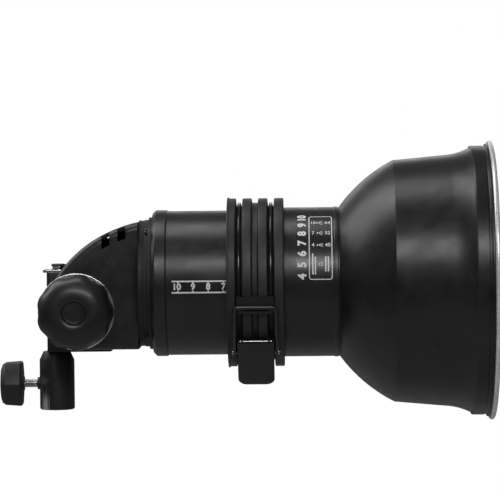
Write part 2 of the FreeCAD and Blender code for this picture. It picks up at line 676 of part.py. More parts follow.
def make_housing_screws():
    screws = []
    for x, z in SHELL_SCREW_POINTS:
        outer = HOUSING_HALF_W - SHELL_SCREW_SUNK
        head = rod(V(x, outer - SHELL_SCREW_HEAD_T, z), V(x, outer, z), SHELL_SCREW_HEAD_R)
        shank = rod(V(x, -HOUSING_HALF_W + 2 * HOUSING_WALL, z), V(x, outer, z), SHELL_SCREW_R)
        screws.append(fused([head, shank]))
    return Part.makeCompound(screws)


def make_housing_flange():
    flange = turned([
        (HOUSING_X1, FLANGE_BORE_R), (HOUSING_X1, FLANGE_R - FLANGE_STEP),
        (HOUSING_X1 + FLANGE_STEP, FLANGE_R), (FLANGE_X1, FLANGE_R), (FLANGE_X1, FLANGE_BORE_R)])
    return flange.cut(make_flange_screws())


def make_flange_screws():
    x = FLANGE_X1 - FLANGE_SCREW_HEAD_R - FLANGE_SCREW_AHEAD
    screws = []
    for angle in FLANGE_SCREW_ANGLES:
        inner = around(FLANGE_BORE_R - SPIGOT_WALL + 1, 90 + angle)
        seat = around(FLANGE_R - FLANGE_SCREW_SEAT, 90 + angle)
        outer = around(FLANGE_R + FLANGE_SCREW_PROUD, 90 + angle)
        shank = rod(V(x, inner[0], AXIS_Z + inner[1]), V(x, seat[0], AXIS_Z + seat[1]), FLANGE_SCREW_R)
        head = rod(V(x, seat[0], AXIS_Z + seat[1]), V(x, outer[0], AXIS_Z + outer[1]),
                   FLANGE_SCREW_HEAD_R)
        screws.append(fused([shank, head]))
    return Part.makeCompound(screws)


def make_barrel_ring():
    bore = FLANGE_BORE_R - SPIGOT_WALL
    ring = turned([
        (FLANGE_X1 - SPIGOT_L, bore), (FLANGE_X1 - SPIGOT_L, FLANGE_BORE_R), (FLANGE_X1, FLANGE_BORE_R),
        (FLANGE_X1, RING_R - RING_ROUND),
        ((FLANGE_X1 + 0.3 * RING_ROUND, RING_R - 0.3 * RING_ROUND), (FLANGE_X1 + RING_ROUND, RING_R)),
        (RING_X1, RING_R), (RING_X1, BARREL_BORE_R), (RING_X1 + SPIGOT_L, BARREL_BORE_R),
        (RING_X1 + SPIGOT_L, bore)])
    return ring.cut(make_flange_screws())


def make_barrel_tube():
    return disc(RING_X1, BARREL_X1, BARREL_R, BARREL_BORE_R)


# ---- Inside the barrel ----
def make_fan_frame():
    half = FAN_SIDE / 2
    frame = block(FAN_X0, FAN_X1, -half, half, AXIS_Z - half, AXIS_Z + half)
    corners = [edge for edge in frame.Edges if abs(edge.tangentAt(0).x) > 0.9]
    frame = frame.makeFillet(4.0, corners).cut(disc(FAN_X0, FAN_X1, FAN_BORE_R))
    spider = [disc(FAN_X0, FAN_X0 + FAN_STRUT_T, FAN_HUB_R), frame]
    for turn in (0, 90):
        strut = block(FAN_X0, FAN_X0 + FAN_STRUT_T, -FAN_BORE_R - 1, FAN_BORE_R + 1,
                      AXIS_Z - FAN_STRUT_W / 2, AXIS_Z + FAN_STRUT_W / 2)
        strut.rotate(V(0, 0, AXIS_Z), ALONG_X, turn)
        spider.append(strut)
    return fused(spider).cut(disc(FAN_X0, FAN_X1, FAN_SPINDLE_R + FIT))


def make_fan_rotor():
    tip = FAN_BORE_R - FAN_TIP_GAP
    hub_x0 = FAN_X0 + FAN_STRUT_T + 2 * RUN
    hub_x1 = FAN_X1 - 1.0
    pieces = [disc(hub_x0, hub_x1, FAN_HUB_R), disc(FAN_X0 + 0.2, hub_x1, FAN_SPINDLE_R)]
    depth = hub_x1 - hub_x0 - 1.0
    length = depth / math.cos(math.radians(FAN_BLADE_PITCH))
    for blade in range(FAN_BLADES):
        vane = block(-length / 2, length / 2, -FAN_BLADE_T / 2, FAN_BLADE_T / 2, FAN_HUB_R - 1.5, tip + 2)
        vane.rotate(CENTRE, ALONG_Z, FAN_BLADE_PITCH)
        vane.translate(V((hub_x0 + hub_x1) / 2, 0, AXIS_Z))
        vane.rotate(V(0, 0, AXIS_Z), ALONG_X, 360.0 * blade / FAN_BLADES)
        pieces.append(vane)
    return fused(pieces).common(disc(FAN_X0, hub_x1, tip))


def make_fan_spacers():
    """Four posts that hold the fan frame's corners off the chassis disc."""
    reach = FAN_SIDE / 2 - 2 * FAN_SPACER_R
    return Part.makeCompound([
        rod(V(FAN_X1, y, AXIS_Z + z), V(CHASSIS_X0, y, AXIS_Z + z), FAN_SPACER_R)
        for y in (-reach, reach) for z in (-reach, reach)])


def rod_centres():
    for index in range(ROD_COUNT):
        y, z = around(ROD_CIRCLE_R, 360.0 * index / ROD_COUNT)
        yield y, AXIS_Z + z


def make_chassis_disc():
    return disc(CHASSIS_X0, CHASSIS_X1, BARREL_BORE_R, CHASSIS_HOLE_R)


def make_chassis_rods():
    return Part.makeCompound([rod(V(CHASSIS_X1, y, z), V(BASE_X0, y, z), ROD_R) for y, z in rod_centres()])


def make_lamp_base():
    base = disc(BASE_X0, BASE_X1, BARREL_BORE_R, HOLDER_R)
    for side in (-1, 1):
        y = side * FLASH_GAP / 2
        z = AXIS_Z - leg_drop()
        base = base.cut(rod(V(BASE_X0, y, z), V(BASE_X1, y, z), TERMINAL_R))
    return base


def leg_drop():
    """Height of the flash tube's legs below the axis, on the ring's own circle."""
    return math.sqrt(FLASH_RING_R ** 2 - (FLASH_GAP / 2) ** 2)


def make_trigger_coil():
    y, z = around(BARREL_BORE_R - COIL_R - COIL_GAP, 60)
    start = V(CHASSIS_X1, y, AXIS_Z + z)
    coil = rod(start, start + V(COIL_L, 0, 0), COIL_R)
    core = rod(start, start + V(COIL_L + COIL_CORE_L, 0, 0), COIL_CORE_R)
    return fused([coil, core])


def make_terminal_block():
    low = AXIS_Z - BARREL_BORE_R + TERMINAL_H
    body = block(CHASSIS_X1, CHASSIS_X1 + TERMINAL_L, -TERMINAL_W / 2, TERMINAL_W / 2, low,
                 low + TERMINAL_H)
    pitch = TERMINAL_W / TERMINAL_WAYS
    for index in range(TERMINAL_WAYS):
        y = -TERMINAL_W / 2 + pitch * (index + 0.5)
        x = CHASSIS_X1 + TERMINAL_L / 2
        body = body.cut(rod(V(x, y, low + TERMINAL_H / 2), V(x, y, low + TERMINAL_H),
                            TERMINAL_HOLE_R))
    return body


# ---- Lamps and glass ----
def make_lamp_holder():
    holder = turned([
        (BASE_X0 - HOLDER_BACK, 0), (BASE_X0 - HOLDER_BACK, HOLDER_R - 2),
        (BASE_X0 - HOLDER_BACK + 2, HOLDER_R), (BASE_X1, HOLDER_R), (BASE_X1, HOLDER_R - HOLDER_STEP),
        (BASE_X1 + HOLDER_FRONT, HOLDER_R - HOLDER_STEP), (BASE_X1 + HOLDER_FRONT, 0)])
    return holder.cut(disc(BASE_X1, BASE_X1 + HOLDER_FRONT, LAMP_NECK_R))


def make_modelling_lamp():
    front = BASE_X1 + HOLDER_FRONT
    dome = front + LAMP_L - LAMP_R
    slant = math.sqrt(0.5)
    return turned([
        (BASE_X1, 0), (BASE_X1, LAMP_NECK_R), (front, LAMP_NECK_R), (front + 4, LAMP_R),
        (dome, LAMP_R), ((dome + LAMP_R * slant, LAMP_R * slant), (dome + LAMP_R, 0))])


def make_flash_tube():
    """Nearly closed ring of tube with two legs that run back through the base."""
    ring_x = BASE_X1 + FLASH_RING_AHEAD
    half_gap = math.degrees(math.asin(FLASH_GAP / 2 / FLASH_RING_R))
    section = Part.Face(Part.Wire(Part.makeCircle(FLASH_TUBE_R, V(ring_x, 0, FLASH_RING_R), ALONG_Y)))
    section.rotate(CENTRE, ALONG_X, 180 + half_gap)
    ring = section.revolve(CENTRE, ALONG_X, 360 - 2 * half_gap)
    ring.translate(V(0, 0, AXIS_Z))
    pieces = [ring]
    for side in (-1, 1):
        end = V(ring_x, side * FLASH_GAP / 2, AXIS_Z - leg_drop())
        pieces.append(Part.makeSphere(FLASH_TUBE_R, end))
        pieces.append(rod(V(BASE_X1 + TERMINAL_AHEAD, end.y, end.z), end, FLASH_TUBE_R))
    return fused(pieces)


def make_tube_terminals():
    terminals = []
    for side in (-1, 1):
        y = side * FLASH_GAP / 2
        z = AXIS_Z - leg_drop()
        terminals.append(rod(V(BASE_X0 - TERMINAL_BACK, y, z), V(BASE_X1 + TERMINAL_AHEAD, y, z),
                             TERMINAL_R))
    return Part.makeCompound(terminals)


def make_glass_cover():
    start = BASE_X1
    dome = start + COVER_STRAIGHT
    inner = COVER_R - COVER_WALL
    slant = math.sqrt(0.5)
    return turned([
        (start, inner), (start, COVER_R), (dome, COVER_R),
        ((dome + COVER_R * slant, COVER_R * slant), (dome + COVER_R, 0)), (dome + inner, 0),
        ((dome + inner * slant, inner * slant), (dome, inner))])


def make_cover_ring():
    return disc(BASE_X1, BASE_X1 + COVER_RING_L, BARREL_BORE_R, COVER_R)


# ---- Inlet and switch ----
def make_power_inlet():
    outer = HOUSING_HALF_W + INLET_FLANGE_T
    inner = HOUSING_HALF_W - INLET_DEPTH
    body = rod(V(PANEL_X, inner, INLET_Z), V(PANEL_X, outer, INLET_Z), INLET_R)
    flange = rod(V(PANEL_X, HOUSING_HALF_W, INLET_Z), V(PANEL_X, outer, INLET_Z), INLET_R + INLET_FLANGE)
    well = rod(V(PANEL_X, inner + INLET_FLOOR, INLET_Z), V(PANEL_X, outer, INLET_Z), INLET_R - INLET_WALL)
    body = fused([body, flange]).cut(well)
    pins = []
    for index in range(INLET_PIN_COUNT):
        turn = 2 * math.pi * index / INLET_PIN_COUNT
        x = PANEL_X + INLET_PIN_CIRCLE_R * math.cos(turn)
        z = INLET_Z + INLET_PIN_CIRCLE_R * math.sin(turn)
        pins.append(rod(V(x, inner, z), V(x, outer - INLET_PIN_SUNK, z), INLET_PIN_R))
    return fused([body] + pins)


def make_switch_frame():
    half_w = SWITCH_W / 2
    half_h = SWITCH_H / 2
    inner = HOUSING_HALF_W - SWITCH_DEPTH
    outer = HOUSING_HALF_W + SWITCH_LIP_T
    wall_w = half_w + SWITCH_WALL
    wall_h = half_h + SWITCH_WALL
    box = block(PANEL_X - wall_w, PANEL_X + wall_w, inner, outer, SWITCH_Z - wall_h, SWITCH_Z + wall_h)
    lip = block(PANEL_X - wall_w - SWITCH_LIP, PANEL_X + wall_w + SWITCH_LIP, HOUSING_HALF_W, outer,
                SWITCH_Z - wall_h - SWITCH_LIP, SWITCH_Z + wall_h + SWITCH_LIP)
    hole = block(PANEL_X - half_w, PANEL_X + half_w, inner, outer, SWITCH_Z - half_h,
                 SWITCH_Z + half_h)
    pin = rod(V(PANEL_X - wall_w, switch_pin_y(), SWITCH_Z), V(PANEL_X + wall_w, switch_pin_y(), SWITCH_Z),
              SWITCH_PIN_R + FIT)
    return fused([box, lip]).cut(hole).cut(pin)


def switch_pin_y():
    return HOUSING_HALF_W - SWITCH_PIN_DEPTH


def make_switch_rocker():
    half_w = SWITCH_W / 2 - RUN - 0.1
    half_h = SWITCH_H / 2 - 3 * RUN - 0.4
    pin_y = switch_pin_y()
    back = pin_y - 3.6
    profile = Part.makePolygon([
        V(-half_w, back, -half_h), V(-half_w, pin_y + 3.8, -half_h), V(-half_w, pin_y + 2.6, 0),
        V(-half_w, pin_y + 3.8, half_h), V(-half_w, back, half_h), V(-half_w, back, -half_h)])
    rocker = Part.Face(profile).extrude(V(2 * half_w, 0, 0))
    rocker.translate(V(PANEL_X, 0, SWITCH_Z))
    reach = SWITCH_W / 2 + SWITCH_WALL
    pin = rod(V(PANEL_X - reach, pin_y, SWITCH_Z), V(PANEL_X + reach, pin_y, SWITCH_Z), SWITCH_PIN_R)
    rocker = fused([rocker, pin])
    rocker.rotate(V(PANEL_X, pin_y, SWITCH_Z), ALONG_X, -SWITCH_THROW / 2)
    return rocker


# ---- Reflector ----
def make_neck_sleeve():
    return disc(COLLAR_X0 + COLLAR_LIP_L, NECK_X1, NECK_R, NECK_BORE_R)


def inward(point, share=1.0):
    """Point on the bell's inner face under a point of its outer face."""
    return point[0], point[1] - BELL_WALL * share


def make_reflector_dome():
    """Domed back of the spun bowl, from the neck to the crease at the shoulder."""
    neck = (NECK_X1, NECK_R)
    middle = (NECK_X1 + 0.44 * SHOULDER_L, NECK_R + 0.56 * SHOULDER_RISE)
    edge = (BELL_SHOULDER_X, BELL_SHOULDER_R)
    return turned([
        neck, (middle, edge), inward(edge), (inward(middle, 1.2), (NECK_X1, NECK_BORE_R))])


def make_reflector_skirt():
    """The bowl's nearly straight side, the flare, and the mouth under the band."""
    edge = (BELL_SHOULDER_X, BELL_SHOULDER_R)
    side = (BELL_SIDE_X, BELL_SIDE_R)
    flare = (BELL_SIDE_X + 0.5 * FLARE_L, BELL_SIDE_R + 0.36 * FLARE_RISE)
    mouth = (BAND_X0, MOUTH_R)
    end = (BAND_X1, MOUTH_R)
    return turned([
        edge, side, (flare, mouth), end, inward(end), inward(mouth), (inward(flare), inward(side)),
        inward(edge)])


def make_front_band():
    return disc(BAND_X0, BAND_X1, BAND_R, MOUTH_R)


def make_front_rim():
    """Rolled bead that closes the front edge."""
    front = BAND_X1 + RIM_L
    middle = (BAND_X1 + front) / 2
    crown = middle + 0.2
    return turned([
        (BAND_X1, RIM_INNER_R), (BAND_X1, RIM_R - 1.4), ((crown - 1.2, RIM_R - 0.3), (crown, RIM_R)),
        ((front - 0.7, RIM_R - 1.2), (front, RIM_R - 3.0)), (front - 0.6, RIM_INNER_R + 0.8),
        (front - 1.6, RIM_INNER_R)])


def collar_gaps():
    """Start and end of each groove between the collar's ribs."""
    x = COLLAR_X0 + COLLAR_FIRST_RIB
    for _ in range(COLLAR_GAPS):
        yield x, x + COLLAR_GAP
        x += COLLAR_GAP + COLLAR_RIB


def make_rubber_collar():
    lip = disc(COLLAR_X0, COLLAR_X0 + COLLAR_LIP_L, COLLAR_LIP_R, NECK_BORE_R + RUN)
    sleeve = disc(COLLAR_X0, COLLAR_X1, COLLAR_R, NECK_R)
    collar = fused([lip, sleeve])
    for index, (x0, x1) in enumerate(collar_gaps()):
        floor = COLLAR_FLOOR_R
        if index in WIRED_GAPS:
            floor = WIRE_RING_R - WIRE_R
        collar = collar.cut(disc(x0, x1, COLLAR_R + 1, floor))
    return collar


def wire_places():
    gaps = list(collar_gaps())
    return [(gaps[index][0] + gaps[index][1]) / 2 for index in WIRED_GAPS]


def make_clamp_wires():
    """Two wires that run from the catch, over the top and far side, to the latch's base."""
    inner_r = WIRE_RING_R - WIRE_R
    base_end = LATCH_ANGLE + math.degrees(math.asin(LATCH_BASE_END / inner_r))
    catch_end = CATCH_ANGLE - math.degrees(math.asin(CATCH_FRONT / inner_r))
    wires = []
    for x in wire_places():
        section = Part.Face(Part.Wire(Part.makeCircle(WIRE_R, V(x, 0, WIRE_RING_R), ALONG_Y)))
        section.rotate(CENTRE, ALONG_X, 90 + base_end)
        wire = section.revolve(CENTRE, ALONG_X, 360 - (base_end - catch_end))
        wire.translate(V(0, 0, AXIS_Z))
        wires.append(wire)
    return Part.makeCompound(wires)


# ---- Latch. Each piece is drawn about +Z, with +Y towards the catch, then placed ----
def wire_lugs(y0, y1):
    """Feet that reach down into the collar's grooves to hold the wires' ends."""
    floor = WIRE_RING_R - WIRE_R
    near = min(abs(y0), abs(y1))
    bottom = math.sqrt(floor ** 2 - near ** 2) + FIT
    return [block(x - LATCH_X - WIRE_R, x - LATCH_X + WIRE_R, y0, y1, bottom, COLLAR_R + 0.6)
            for x in wire_places()]


def make_latch_base():
    top = COLLAR_R + LATCH_PLATE_T
    inner_w = EAR_OUTER_X
    tail = -LATCH_BASE_END
    pieces = [
        block(-inner_w, inner_w, tail, PIVOT_Y - 3.5, COLLAR_R, top),
        block(-CATCH_HALF_W, CATCH_HALF_W, tail, tail + LATCH_LUG_L, COLLAR_R, top)]
    for side in (-1, 1):
        x = sorted((side * (inner_w - LATCH_EAR_T), side * inner_w))
        pieces.append(block(x[0], x[1], 0.5, PIVOT_Y - 0.5, COLLAR_R, PIVOT_OUT))
        pieces.append(rod(V(x[0], PIVOT_Y, PIVOT_OUT), V(x[1], PIVOT_Y, PIVOT_OUT),
                          LATCH_PIN_R + LATCH_EAR_ROUND))
        pieces.append(block(x[0], x[1], PIVOT_Y - 2.5, PIVOT_Y, PIVOT_OUT - 1.4, PIVOT_OUT + 1.4))
    base = fused(pieces + wire_lugs(tail, tail + LATCH_LUG_L))
    return on_collar(base.cut(pivot_pin(LATCH_PIN_R)), LATCH_ANGLE)


def pivot_pin(radius):
    return rod(V(-LEVER_HALF_W, PIVOT_Y, PIVOT_OUT), V(LEVER_HALF_W, PIVOT_Y, PIVOT_OUT), radius)


def make_latch_pin():
    return on_collar(pivot_pin(LATCH_PIN_R), LATCH_ANGLE)


def make_latch_catch():
    top = COLLAR_R + LATCH_PLATE_T
    wall = -WIRE_R - HOOK_GAP
    pieces = [
        block(-CATCH_HALF_W, CATCH_HALF_W, -CATCH_BACK, CATCH_FRONT, COLLAR_R, top),
        block(-HOOK_HALF_W, HOOK_HALF_W, wall - HOOK_T, wall, COLLAR_R, BAIL_R + HOOK_PROUD)]
    catch = fused(pieces + wire_lugs(CATCH_FRONT - LATCH_LUG_L, CATCH_FRONT))
    return on_collar(catch, CATCH_ANGLE)


def make_latch_lever():
    inner = PIVOT_OUT + LEVER_OVER_PIVOT
    end = PIVOT_Y + LEVER_STUB
    plate = block(-LEVER_HALF_W, LEVER_HALF_W, -LEVER_END, end, inner, inner + LEVER_T)
    corners = [
        edge for edge in plate.Edges
        if abs(edge.tangentAt(0).z) > 0.9 and edge.CenterOfMass.y < -LEVER_END + 1]
    pieces = [plate.makeFillet(LEVER_CORNER_R, corners)]
    for side in (-1, 1):
        x = sorted((side * LEVER_HALF_W, side * (LEVER_HALF_W - LEVER_FLANGE_T)))
        pieces.append(block(x[0], x[1], -LEVER_FLANGE_BACK, end, inner - LEVER_FLANGE_DROP, inner))
    lever = fused(pieces)
    lever = lever.cut(pivot_pin(LATCH_PIN_R + FIT))
    bail_pin = rod(V(-LEVER_HALF_W, -BAIL_PIN_BACK, BAIL_PIN_OUT),
                   V(LEVER_HALF_W, -BAIL_PIN_BACK, BAIL_PIN_OUT), WIRE_R + FIT)
    return on_collar(lever.cut(bail_pin), LATCH_ANGLE)


def make_latch_bail():
    """Wire frame: a bar in the catch, two legs bent round the collar, and two pins in the lever."""
    bar_turn = LATCH_ANGLE - CATCH_ANGLE
    corner_turn = math.degrees(BAIL_CORNER_R / BAIL_R)
    pin_turn = math.degrees(math.atan2(-BAIL_PIN_BACK, BAIL_PIN_OUT))
    pieces = []

    def at(x, turn, radius=BAIL_R):
        return V(x, radius * math.sin(math.radians(turn)), radius * math.cos(math.radians(turn)))
    straight = BAIL_HALF_W - BAIL_CORNER_R
    pieces.append(rod(at(-straight, bar_turn), at(straight, bar_turn), WIRE_R))
    for side in (-1, 1):
        leg_x = side * BAIL_HALF_W
        leg_top = bar_turn - corner_turn
        section = Part.Face(Part.Wire(Part.makeCircle(WIRE_R, V(leg_x, 0, BAIL_R), ALONG_Y)))
        section.rotate(CENTRE, ALONG_X, -leg_top)
        pieces.append(section.revolve(CENTRE, ALONG_X, leg_top - pin_turn))
        bend = at(leg_x - side * 0.3 * BAIL_CORNER_R, bar_turn - 0.3 * corner_turn)
        pieces.append(rod(at(side * straight, bar_turn), bend, WIRE_R))
        pieces.append(rod(bend, at(leg_x, leg_top), WIRE_R))
        for joint in (at(side * straight, bar_turn), bend, at(leg_x, leg_top), at(leg_x, pin_turn)):
            pieces.append(Part.makeSphere(WIRE_R, joint))
        foot = V(leg_x, -BAIL_PIN_BACK, BAIL_PIN_OUT)
        pieces.append(rod(at(leg_x, pin_turn), foot, WIRE_R))
        pieces.append(rod(V(side * (LEVER_HALF_W - LEVER_FLANGE_T), foot.y, foot.z),
                          V(side * (BAIL_HALF_W + WIRE_R + BAIL_PIN_PROUD), foot.y, foot.z), WIRE_R))
    return on_collar(fused(pieces), LATCH_ANGLE)


os.makedirs("parts", exist_ok=True)
HOUSING = make_housing()
PARTS = {
    "stand_socket": make_stand_socket(),
    "socket_bolt": make_socket_bolt(),
    "lock_insert": make_lock_insert(),
    "tilt_bracket": make_tilt_bracket(),
    "tilt_bushes": make_tilt_bushes(),
    "stop_plate": make_stop_plate(),
    "stop_spacer": make_stop_spacer(),
    "stop_cap": make_stop_cap(),
    "lock_pad": make_lock_pad(),
    "lock_screw": make_lock_screw(),
    "lock_knob": make_lock_knob(),
    "housing_right": make_shell(HOUSING, -1),
    "housing_left": make_shell(HOUSING, 1),
    "housing_screws": make_housing_screws(),
    "housing_flange": make_housing_flange(),
    "flange_screws": make_flange_screws(),
    "tilt_disc": make_tilt_disc(),
    "tilt_nut": make_tilt_nut(),
    "barrel_ring": make_barrel_ring(),
    "barrel_tube": make_barrel_tube(),
    "fan_frame": make_fan_frame(),
    "fan_spacers": make_fan_spacers(),
    "chassis_disc": make_chassis_disc(),
    "chassis_rods": make_chassis_rods(),
    "lamp_base": make_lamp_base(),
    "lamp_holder": make_lamp_holder(),
    "modelling_lamp": make_modelling_lamp(),
    "flash_tube": make_flash_tube(),
    "tube_terminals": make_tube_terminals(),
    "trigger_coil": make_trigger_coil(),
    "terminal_block": make_terminal_block(),
    "glass_cover": make_glass_cover(),
    "cover_ring": make_cover_ring(),
    "power_inlet": make_power_inlet(),
    "switch_frame": make_switch_frame(),
    "switch_rocker": make_switch_rocker(),
    "tilt_knob": make_tilt_knob(),
    "tilt_bolt": make_tilt_bolt(),
    "tilt_cap": make_tilt_cap(),
    "fan_rotor": make_fan_rotor(),
    "neck_sleeve": make_neck_sleeve(),
    "reflector_dome": make_reflector_dome(),
    "reflector_skirt": make_reflector_skirt(),
    "front_band": make_front_band(),
    "front_rim": make_front_rim(),
    "rubber_collar": make_rubber_collar(),
    "clamp_wires": make_clamp_wires(),
    "latch_catch": make_latch_catch(),
    "latch_base": make_latch_base(),
    "latch_pin": make_latch_pin(),
    "latch_lever": make_latch_lever(),
    "latch_bail": make_latch_bail(),
}
for name, shape in PARTS.items():
    save(name, shape)
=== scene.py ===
import json
import math

import bmesh
import bpy
from mathutils import Matrix, Vector


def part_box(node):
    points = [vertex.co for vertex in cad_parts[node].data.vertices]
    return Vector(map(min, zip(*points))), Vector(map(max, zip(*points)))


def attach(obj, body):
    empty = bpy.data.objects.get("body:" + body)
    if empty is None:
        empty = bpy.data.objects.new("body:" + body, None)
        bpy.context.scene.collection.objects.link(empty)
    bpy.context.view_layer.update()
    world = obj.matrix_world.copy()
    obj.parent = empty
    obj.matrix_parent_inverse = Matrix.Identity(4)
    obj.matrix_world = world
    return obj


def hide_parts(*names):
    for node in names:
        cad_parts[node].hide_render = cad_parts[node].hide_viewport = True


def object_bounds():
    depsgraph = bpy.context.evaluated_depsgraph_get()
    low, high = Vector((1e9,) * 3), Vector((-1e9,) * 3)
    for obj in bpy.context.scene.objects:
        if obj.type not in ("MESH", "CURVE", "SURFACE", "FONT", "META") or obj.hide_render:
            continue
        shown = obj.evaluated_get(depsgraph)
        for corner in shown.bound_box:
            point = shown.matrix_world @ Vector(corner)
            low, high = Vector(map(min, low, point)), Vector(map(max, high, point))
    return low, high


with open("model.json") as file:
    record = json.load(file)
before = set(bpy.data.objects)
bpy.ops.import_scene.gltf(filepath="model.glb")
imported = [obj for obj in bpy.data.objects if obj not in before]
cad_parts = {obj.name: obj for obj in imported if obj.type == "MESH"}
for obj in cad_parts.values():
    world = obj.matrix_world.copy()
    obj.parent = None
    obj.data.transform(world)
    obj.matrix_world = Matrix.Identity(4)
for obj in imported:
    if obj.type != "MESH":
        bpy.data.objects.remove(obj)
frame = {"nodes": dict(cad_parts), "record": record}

# Looks of a studio flash head with a slide-on zoom reflector. Metres; +X is the beam, +Z is up.
CAD_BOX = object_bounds()
MM = 0.001
ROUND_STEPS = 160        # segments round a turned piece
SHARP = math.radians(32)
X, Y, Z = Vector((1, 0, 0)), Vector((0, 1, 0)), Vector((0, 0, 1))
NEAR = -Y                # the side with the tilt knob and the latch

RECORD = frame["record"]
BODY_OF = {node: body for body, nodes in RECORD["behaviour"]["bodies"].items() for node in nodes}
SLOT_OF = {part["node"]: part["material_slot"] for part in RECORD["subparts"]}


def low_high(node):
    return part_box(node)


def middle(node):
    low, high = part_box(node)
    return (low + high) / 2


def radius_of(node):
    """Outer radius of a piece that is round about the optical axis."""
    low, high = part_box(node)
    return (high.z - low.z) / 2


AXIS_Z = middle("barrel_tube").z
BARREL_R = radius_of("barrel_tube")
NECK_R = radius_of("neck_sleeve")


# ---- Materials ----
def start_material(name):
    material = bpy.data.materials.new(name)
    material.use_nodes = True
    tree = material.node_tree
    shader = tree.nodes["Principled BSDF"]
    place = tree.nodes.new("ShaderNodeTexCoord").outputs["Object"]
    return material, tree, shader, place


def noise(tree, place, scale, detail=3.0, stretch=None):
    """Noise in the piece's own coordinates; the scale is in waves per metre."""
    if stretch:
        mapping = tree.nodes.new("ShaderNodeMapping")
        mapping.inputs["Scale"].default_value = stretch
        tree.links.new(place, mapping.inputs["Vector"])
        place = mapping.outputs["Vector"]
    node = tree.nodes.new("ShaderNodeTexNoise")
    node.inputs["Scale"].default_value = scale
    node.inputs["Detail"].default_value = detail
    tree.links.new(place, node.inputs["Vector"])
    return node.outputs["Fac"]


def spread(tree, factor, low, high, start=0.3, end=0.7):
    """Maps the middle of a noise to the range from low to high."""
    node = tree.nodes.new("ShaderNodeMapRange")
    node.inputs["From Min"].default_value = start
    node.inputs["From Max"].default_value = end
    node.inputs["To Min"].default_value = low
    node.inputs["To Max"].default_value = high
    tree.links.new(factor, node.inputs["Value"])
    return node.outputs["Result"]


def mixed(tree, factor, first, second):
    """Colour that goes from the first to the second as the factor goes from 0 to 1."""
    node = tree.nodes.new("ShaderNodeMix")
    node.data_type = "RGBA"
    tree.links.new(factor, node.inputs[0])
    for colour, socket in ((first, node.inputs[6]), (second, node.inputs[7])):
        if isinstance(colour, bpy.types.NodeSocket):
            tree.links.new(colour, socket)
        else:
            socket.default_value = (*colour, 1)
    return node.outputs[2]


def bumped(tree, shader, height, strength, distance):
    node = tree.nodes.new("ShaderNodeBump")
    node.inputs["Strength"].default_value = strength
    node.inputs["Distance"].default_value = distance
    tree.links.new(height, node.inputs["Height"])
    tree.links.new(node.outputs["Normal"], shader.inputs["Normal"])


def shaded(colour, gain):
    return tuple(min(1.0, part * gain) for part in colour)


def coated(name, colour, rough, grain=2600, bump=0.25, mottle=0.3, coat=0.0, wear=None):
    """Paint, powder coat, rubber or moulded plastic, with a fine grain and faint handling marks."""
    material, tree, shader, place = start_material(name)
    cloudy = noise(tree, place, 45, 4)
    tone = mixed(tree, spread(tree, cloudy, 0, 1), shaded(colour, 1 - mottle), shaded(colour, 1 + mottle))
    scuffs = noise(tree, place, 160, 6, (1, 2.6, 0.7))
    scuff = spread(tree, scuffs, 0, 1, 0.62, 0.74)
    tone = mixed(tree, scuff, tone, shaded(colour, 1.9))
    if wear:
        edge = tree.nodes.new("ShaderNodeNewGeometry").outputs["Pointiness"]
        worn = spread(tree, edge, 0, 1, 0.545, 0.62)
        patchy = tree.nodes.new("ShaderNodeMath")
        patchy.operation = "MULTIPLY"
        tree.links.new(worn, patchy.inputs[0])
        tree.links.new(spread(tree, cloudy, 0, 1, 0.4, 0.55), patchy.inputs[1])
        tone = mixed(tree, patchy.outputs[0], tone, wear)
    tree.links.new(tone, shader.inputs["Base Color"])
    rub = noise(tree, place, 90, 5)
    tree.links.new(spread(tree, rub, rough * 0.85, rough * 1.18), shader.inputs["Roughness"])
    shader.inputs["Coat Weight"].default_value = coat
    shader.inputs["Coat Roughness"].default_value = 0.12
    bumped(tree, shader, noise(tree, place, grain, 2), bump, 0.00008)
    return material


def metallic(name, colour, rough, stretch=(1, 1, 1), bump=0.12, metal=1.0):
    """Bare, plated or turned metal; the stretch draws the grain out into tool marks."""
    material, tree, shader, place = start_material(name)
    shader.inputs["Metallic"].default_value = metal
    stain = noise(tree, place, 70, 5)
    tone = mixed(tree, spread(tree, stain, 0, 1), shaded(colour, 0.82), shaded(colour, 1.06))
    tree.links.new(tone, shader.inputs["Base Color"])
    marks = noise(tree, place, 900, 3, stretch)
    tree.links.new(spread(tree, marks, rough * 0.75, rough * 1.3), shader.inputs["Roughness"])
    bumped(tree, shader, marks, bump, 0.00005)
    return material


def clear(name, colour, rough, ripple=0.05):
    """Glass with faint waviness and a trace of dust."""
    material, tree, shader, place = start_material(name)
    shader.inputs["Transmission Weight"].default_value = 1.0
    shader.inputs["IOR"].default_value = 1.46
    dust = noise(tree, place, 60, 6)
    tone = mixed(tree, spread(tree, dust, 0, 1), shaded(colour, 0.94), colour)
    tree.links.new(tone, shader.inputs["Base Color"])
    tree.links.new(spread(tree, dust, rough * 0.7, rough * 1.4), shader.inputs["Roughness"])
    bumped(tree, shader, noise(tree, place, 120, 2), ripple, 0.0001)
    return material


def glowing_wire(name, colour):
    material, tree, shader, place = start_material(name)
    shader.inputs["Metallic"].default_value = 1.0
    tree.links.new(mixed(tree, noise(tree, place, 800), shaded(colour, 0.7), colour),
                   shader.inputs["Base Color"])
    tree.links.new(spread(tree, noise(tree, place, 500), 0.25, 0.45), shader.inputs["Roughness"])
    return material


